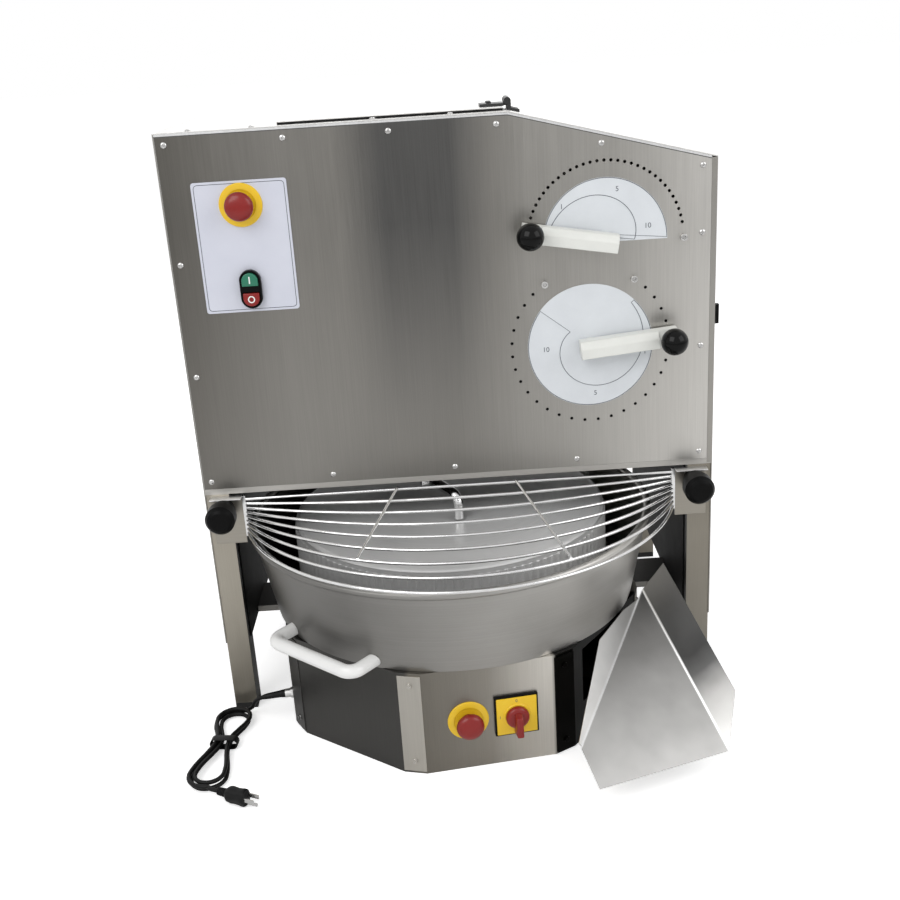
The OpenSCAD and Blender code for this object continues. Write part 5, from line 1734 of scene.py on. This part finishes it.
@dataclass
class EmergencyStop:
    """Yellow collar and red mushroom of one emergency stop."""

    name: str
    place: Matrix
    deep: float = 22.0
    ring_profile: Profile = ((11.3, 0), (30, 0), (30, 1.4), (29.3, 2.2), (25, 2.8), (21.5, 3.2), (20.5, 2.6),
                             (18, 2.4), (11.3, 2.4), (11.3, 0))
    cap_profile: Profile = ((0, 27.9), (6, 27.8), (11, 27.1), (15, 25.7), (18, 23.4), (19.6, 20.6), (20, 18),
                            (19.6, 15.6), (18.4, 13.8), (16.5, 13), (11, 13))
    stem: float = 11.0

    def build(self, shop: Shop) -> None:
        """Turn the collar and the mushroom.

        Args:
            shop: The modelling steps.
        """
        collar, button = self.name + "_collar", self.name + "_button"
        ring = shop.turned(self.ring_profile, steps=64)
        shop.done(ring, collar + "_ring", "yellow", place=self.place, smooth=30,
                  stands_for=[collar])
        cap = shop.turned([*self.cap_profile, (self.stem, -self.deep), (0, -self.deep)], steps=64)
        shop.done(cap, button + "_cap", "red", button, self.place, smooth=40,
                  stands_for=[button])


@dataclass
class TwinButton:
    """Oval bezel with a start and a stop button."""

    x: float = -273.0
    z: float = 683.0
    bezel_r: float = 15.0
    bezel_high: float = 9.0
    bezel_round: float = 0.8
    half: float = 12.0
    rim: float = 3.2
    well: float = 5.5
    bar: Place = (11.9, 4.6, 9.2)
    bar_low: float = 2.0
    bar_round: float = 0.5
    key_r: float = 11.4
    key_z: Pair = (3.8, 12.0)
    key_cut: float = 5.0
    key_round: float = 1.0
    stem_r: float = 6.0
    stem_z: Pair = (-8.0, 5.0)
    stem_round: float = 0.4
    mark_y: float = 13.6
    stroke: Place = (0.9, 5.0, 0.25)
    stroke_low: float = 0.3
    stroke_round: float = 0.15
    zero_profile: Profile = ((3.4, -0.3), (5.0, -0.3), (5.0, 0.2), (4.8, 0.3), (3.6, 0.3), (3.4, 0.2),
                             (3.4, -0.3))

    def build(self, shop: Shop) -> None:
        """Make the bezel, the two buttons and their marks.

        Args:
            shop: The modelling steps.
        """
        place = on_front(self.x, self.z, PANEL_T)
        bezel = shop.oval(self.bezel_r, self.half, 0, self.bezel_high)
        shop.sunk(bezel, lambda p, n: n.z > 0.9, self.rim, (0, 0, -self.well))
        shop.bevelled(bezel, self.bezel_round, segments=3)
        wide, high, front = self.bar
        bar = shop.block((-wide, -high, self.bar_low), (wide, high, front))
        shop.bevelled(bar, self.bar_round)
        shop.done(shop.joined([bezel, bar]), "twin_bezel_oval", "black", place=place,
                  smooth=40, stands_for=["twin_bezel"])
        self.key(shop, 1, "start_button", "green", "green_plastic", place)
        self.key(shop, -1, "stop_button", "red", "red_plastic", place)

    def key(self, shop: Shop, side: int, node: str, finish: str, slot: str, place: Matrix) -> None:
        """Make one button with a rounded end and its mark.

        Args:
            shop: The modelling steps.
            side: 1 for the upper button, -1 for the lower one.
            node: The button's node and body.
            finish: Its finish.
            slot: Not used.
            place: Place of the bezel.
        """
        piece = shop.oval(self.key_r, self.half, *self.key_z)
        shop.alone(piece)
        bpy.ops.object.mode_set(mode="EDIT")
        bpy.ops.mesh.select_all(action="SELECT")
        bpy.ops.mesh.bisect(plane_co=(0, side * self.key_cut * MM, 0), plane_no=(0, side, 0),
                            clear_inner=True, use_fill=True)
        bpy.ops.object.mode_set(mode="OBJECT")
        shop.bevelled(piece, self.key_round, segments=3)
        stem = shop.cylinder(self.stem_r, *self.stem_z, sides=24)
        shop.bevelled(stem, self.stem_round, segments=1)
        stem.matrix_world = Matrix.Translation(Vector((0, side * self.half * MM, 0)))
        shop.settled(stem)
        shop.done(shop.joined([piece, stem]), node + "_cap", finish, node, place, smooth=40,
                  stands_for=[node])
        middle = Vector((0, side * self.mark_y * MM, self.key_z[1] * MM))
        shop.done(self.mark(shop, side), node + "_mark", "mark", node,
                  place @ Matrix.Translation(middle), smooth=40)

    def mark(self, shop: Shop, side: int) -> bpy.types.Object:
        """Make the upper button's stroke or the lower one's ring.

        Args:
            shop: The modelling steps.
            side: 1 for the upper button, -1 for the lower one.

        Returns:
            The mark.
        """
        if side < 0:
            return shop.turned(self.zero_profile, steps=40)
        low = (-self.stroke[0], -self.stroke[1], -self.stroke_low)
        return shop.bevelled(shop.block(low, self.stroke), self.stroke_round, segments=1)


@dataclass
class PlateLine:
    """Thin printed line round the control plate."""

    z: float = 741.0
    wide: float = 131.0
    high: float = 182.0
    inset: float = 3.5
    corner: float = 5.0
    pen: float = 0.8
    steps: int = 6

    def build(self, shop: Shop) -> None:
        """Draw the line with its rounded corners.

        Args:
            shop: The modelling steps.
        """
        half_x, half_z = (size / 2 - self.inset - self.corner for size in (self.wide, self.high))
        points: list[Place] = []
        for k, (sx, sz) in enumerate(((1, 1), (-1, 1), (-1, -1), (1, -1))):
            points += [(*round_place((sx * half_x, sz * half_z), self.corner, 90 * (k + i / self.steps)), 0.0)
                       for i in range(self.steps + 1)]
        shop.done(shop.line(points, self.pen, True), "plate_line", "print",
                  place=on_front(PANEL_X, self.z, PANEL_T), smooth=30)


@dataclass
class MainSwitch:
    """Square main switch on the base with its red handle."""

    box_half: float = 32.0
    box_deep: float = 5.0
    box_round: float = 1.2
    plate_half: float = 29.5
    plate_z: Pair = (4.5, 6.8)
    plate_round: float = 1.0
    boss_profile: Profile = ((5.1, 4.5), (19.5, 4.5), (19.5, 7.6), (18.5, 8.6), (5.1, 8.6), (5.1, 4.5))
    text: float = 6.5
    text_out: float = 24.5
    text_z: float = 6.85
    hub_profile: Profile = ((0, 17.2), (12, 17.2), (15.2, 16), (17, 13.4), (17, 9.3), (5, 9.3), (5, -6),
                            (0, -6))
    grip_low: Place = (-6, -24, 10)
    grip_high: Place = (6, 12, 30)
    grip_round: float = 2.0
    slant: float = 4.0
    taper: float = 1.2

    def build(self, shop: Shop) -> None:
        """Make the black box, the yellow plate and the handle.

        Args:
            shop: The modelling steps.
        """
        place = on_base(0, BASE_SWITCH_X, BASE_CONTROLS_Z)
        half = self.box_half
        box = shop.block((-half, -half, 0), (half, half, self.box_deep))
        shop.bevelled(box, self.box_round, segments=3)
        shop.done(box, "switch_box", "black", place=place, smooth=40)
        half, (low, high) = self.plate_half, self.plate_z
        plate = shop.block((-half, -half, low), (half, half, high))
        shop.bevelled(plate, self.plate_round, segments=3)
        boss = shop.turned(self.boss_profile, steps=56)
        shop.done(shop.joined([plate, boss]), "switch_plate", "yellow", place=place,
                  stands_for=["main_switch_plate"])
        marks = [shop.words("0", self.text, (0, self.text_out, self.text_z)),
                 shop.words("1", self.text, (-self.text_out, 0, self.text_z))]
        shop.done(shop.joined(marks), "switch_numbers", "print", place=place, smooth=30)
        self.handle(shop, place)

    def handle(self, shop: Shop, place: Matrix) -> None:
        """Make the handle: a round boss with a grip that points down.

        Args:
            shop: The modelling steps.
            place: Place of the switch.
        """
        hub = shop.turned(self.hub_profile)
        grip = shop.block(self.grip_low, self.grip_high)
        middle = (self.grip_low[2] + self.grip_high[2]) / 2
        shop.shift(grip, lambda p, n: p.z > middle and p.y > 0, (0, -self.slant, 0))
        for side in (1, -1):
            shop.shift(grip, lambda p, n: p.z > middle and p.x * side > 0, (-side * self.taper, 0, 0))
        shop.bevelled(grip, self.grip_round, segments=3)
        shop.done(shop.joined([hub, grip]), "switch_handle", "red", "main_switch_handle",
                  place, smooth=40, stands_for=["main_switch_handle"])


def dress_nodes(shop: Shop) -> None:
    """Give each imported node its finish.

    Args:
        shop: The modelling steps.
    """
    for key, names in NODE_FINISH.items():
        for name in names:
            shop.dress(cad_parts[name], key)


def main() -> None:
    """Build the studio and every piece."""
    logging.basicConfig(level=logging.INFO, format="%(message)s")
    bpy.context.scene.view_settings.view_transform = "Standard"
    shop = Shop()
    Studio().build()
    MainsLead().build(shop)
    dress_nodes(shop)
    Screws().build(shop)
    IndexHoleShade().build(shop)
    DialStops().build(shop)
    Dial("upper_dial_print", UPPER_DIAL, radius=87.0, spiral=(168, 80, -1, 41), rim=(0, 168),
         numbers=(("10", 16, 62), ("5", 76, 72), ("1", 140, 78))).build(shop)
    Dial("lower_dial_print", LOWER_DIAL, radius=90.0, spiral=(142, 36, 405, 84), rim=(142, 405),
         numbers=(("10", 182, 64), ("5", 275, 72), ("1", 350, 80))).build(shop)
    LeverFace("upper_lever", UPPER_DIAL, turn=170.0, reach=92.5, up=-1).build(shop)
    LeverFace("lower_lever", LOWER_DIAL, turn=5.0, reach=96.0, up=1).build(shop)
    EmergencyStop("estop", on_front(PANEL_X, PANEL_STOP_Z, PANEL_T), deep=20.0).build(shop)
    EmergencyStop("base_estop", on_base(0, BASE_STOP_X, BASE_CONTROLS_Z)).build(shop)
    TwinButton().build(shop)
    PlateLine().build(shop)
    MainSwitch().build(shop)
    bpy.context.view_layer.update()


if __name__ == "__main__":
    main()
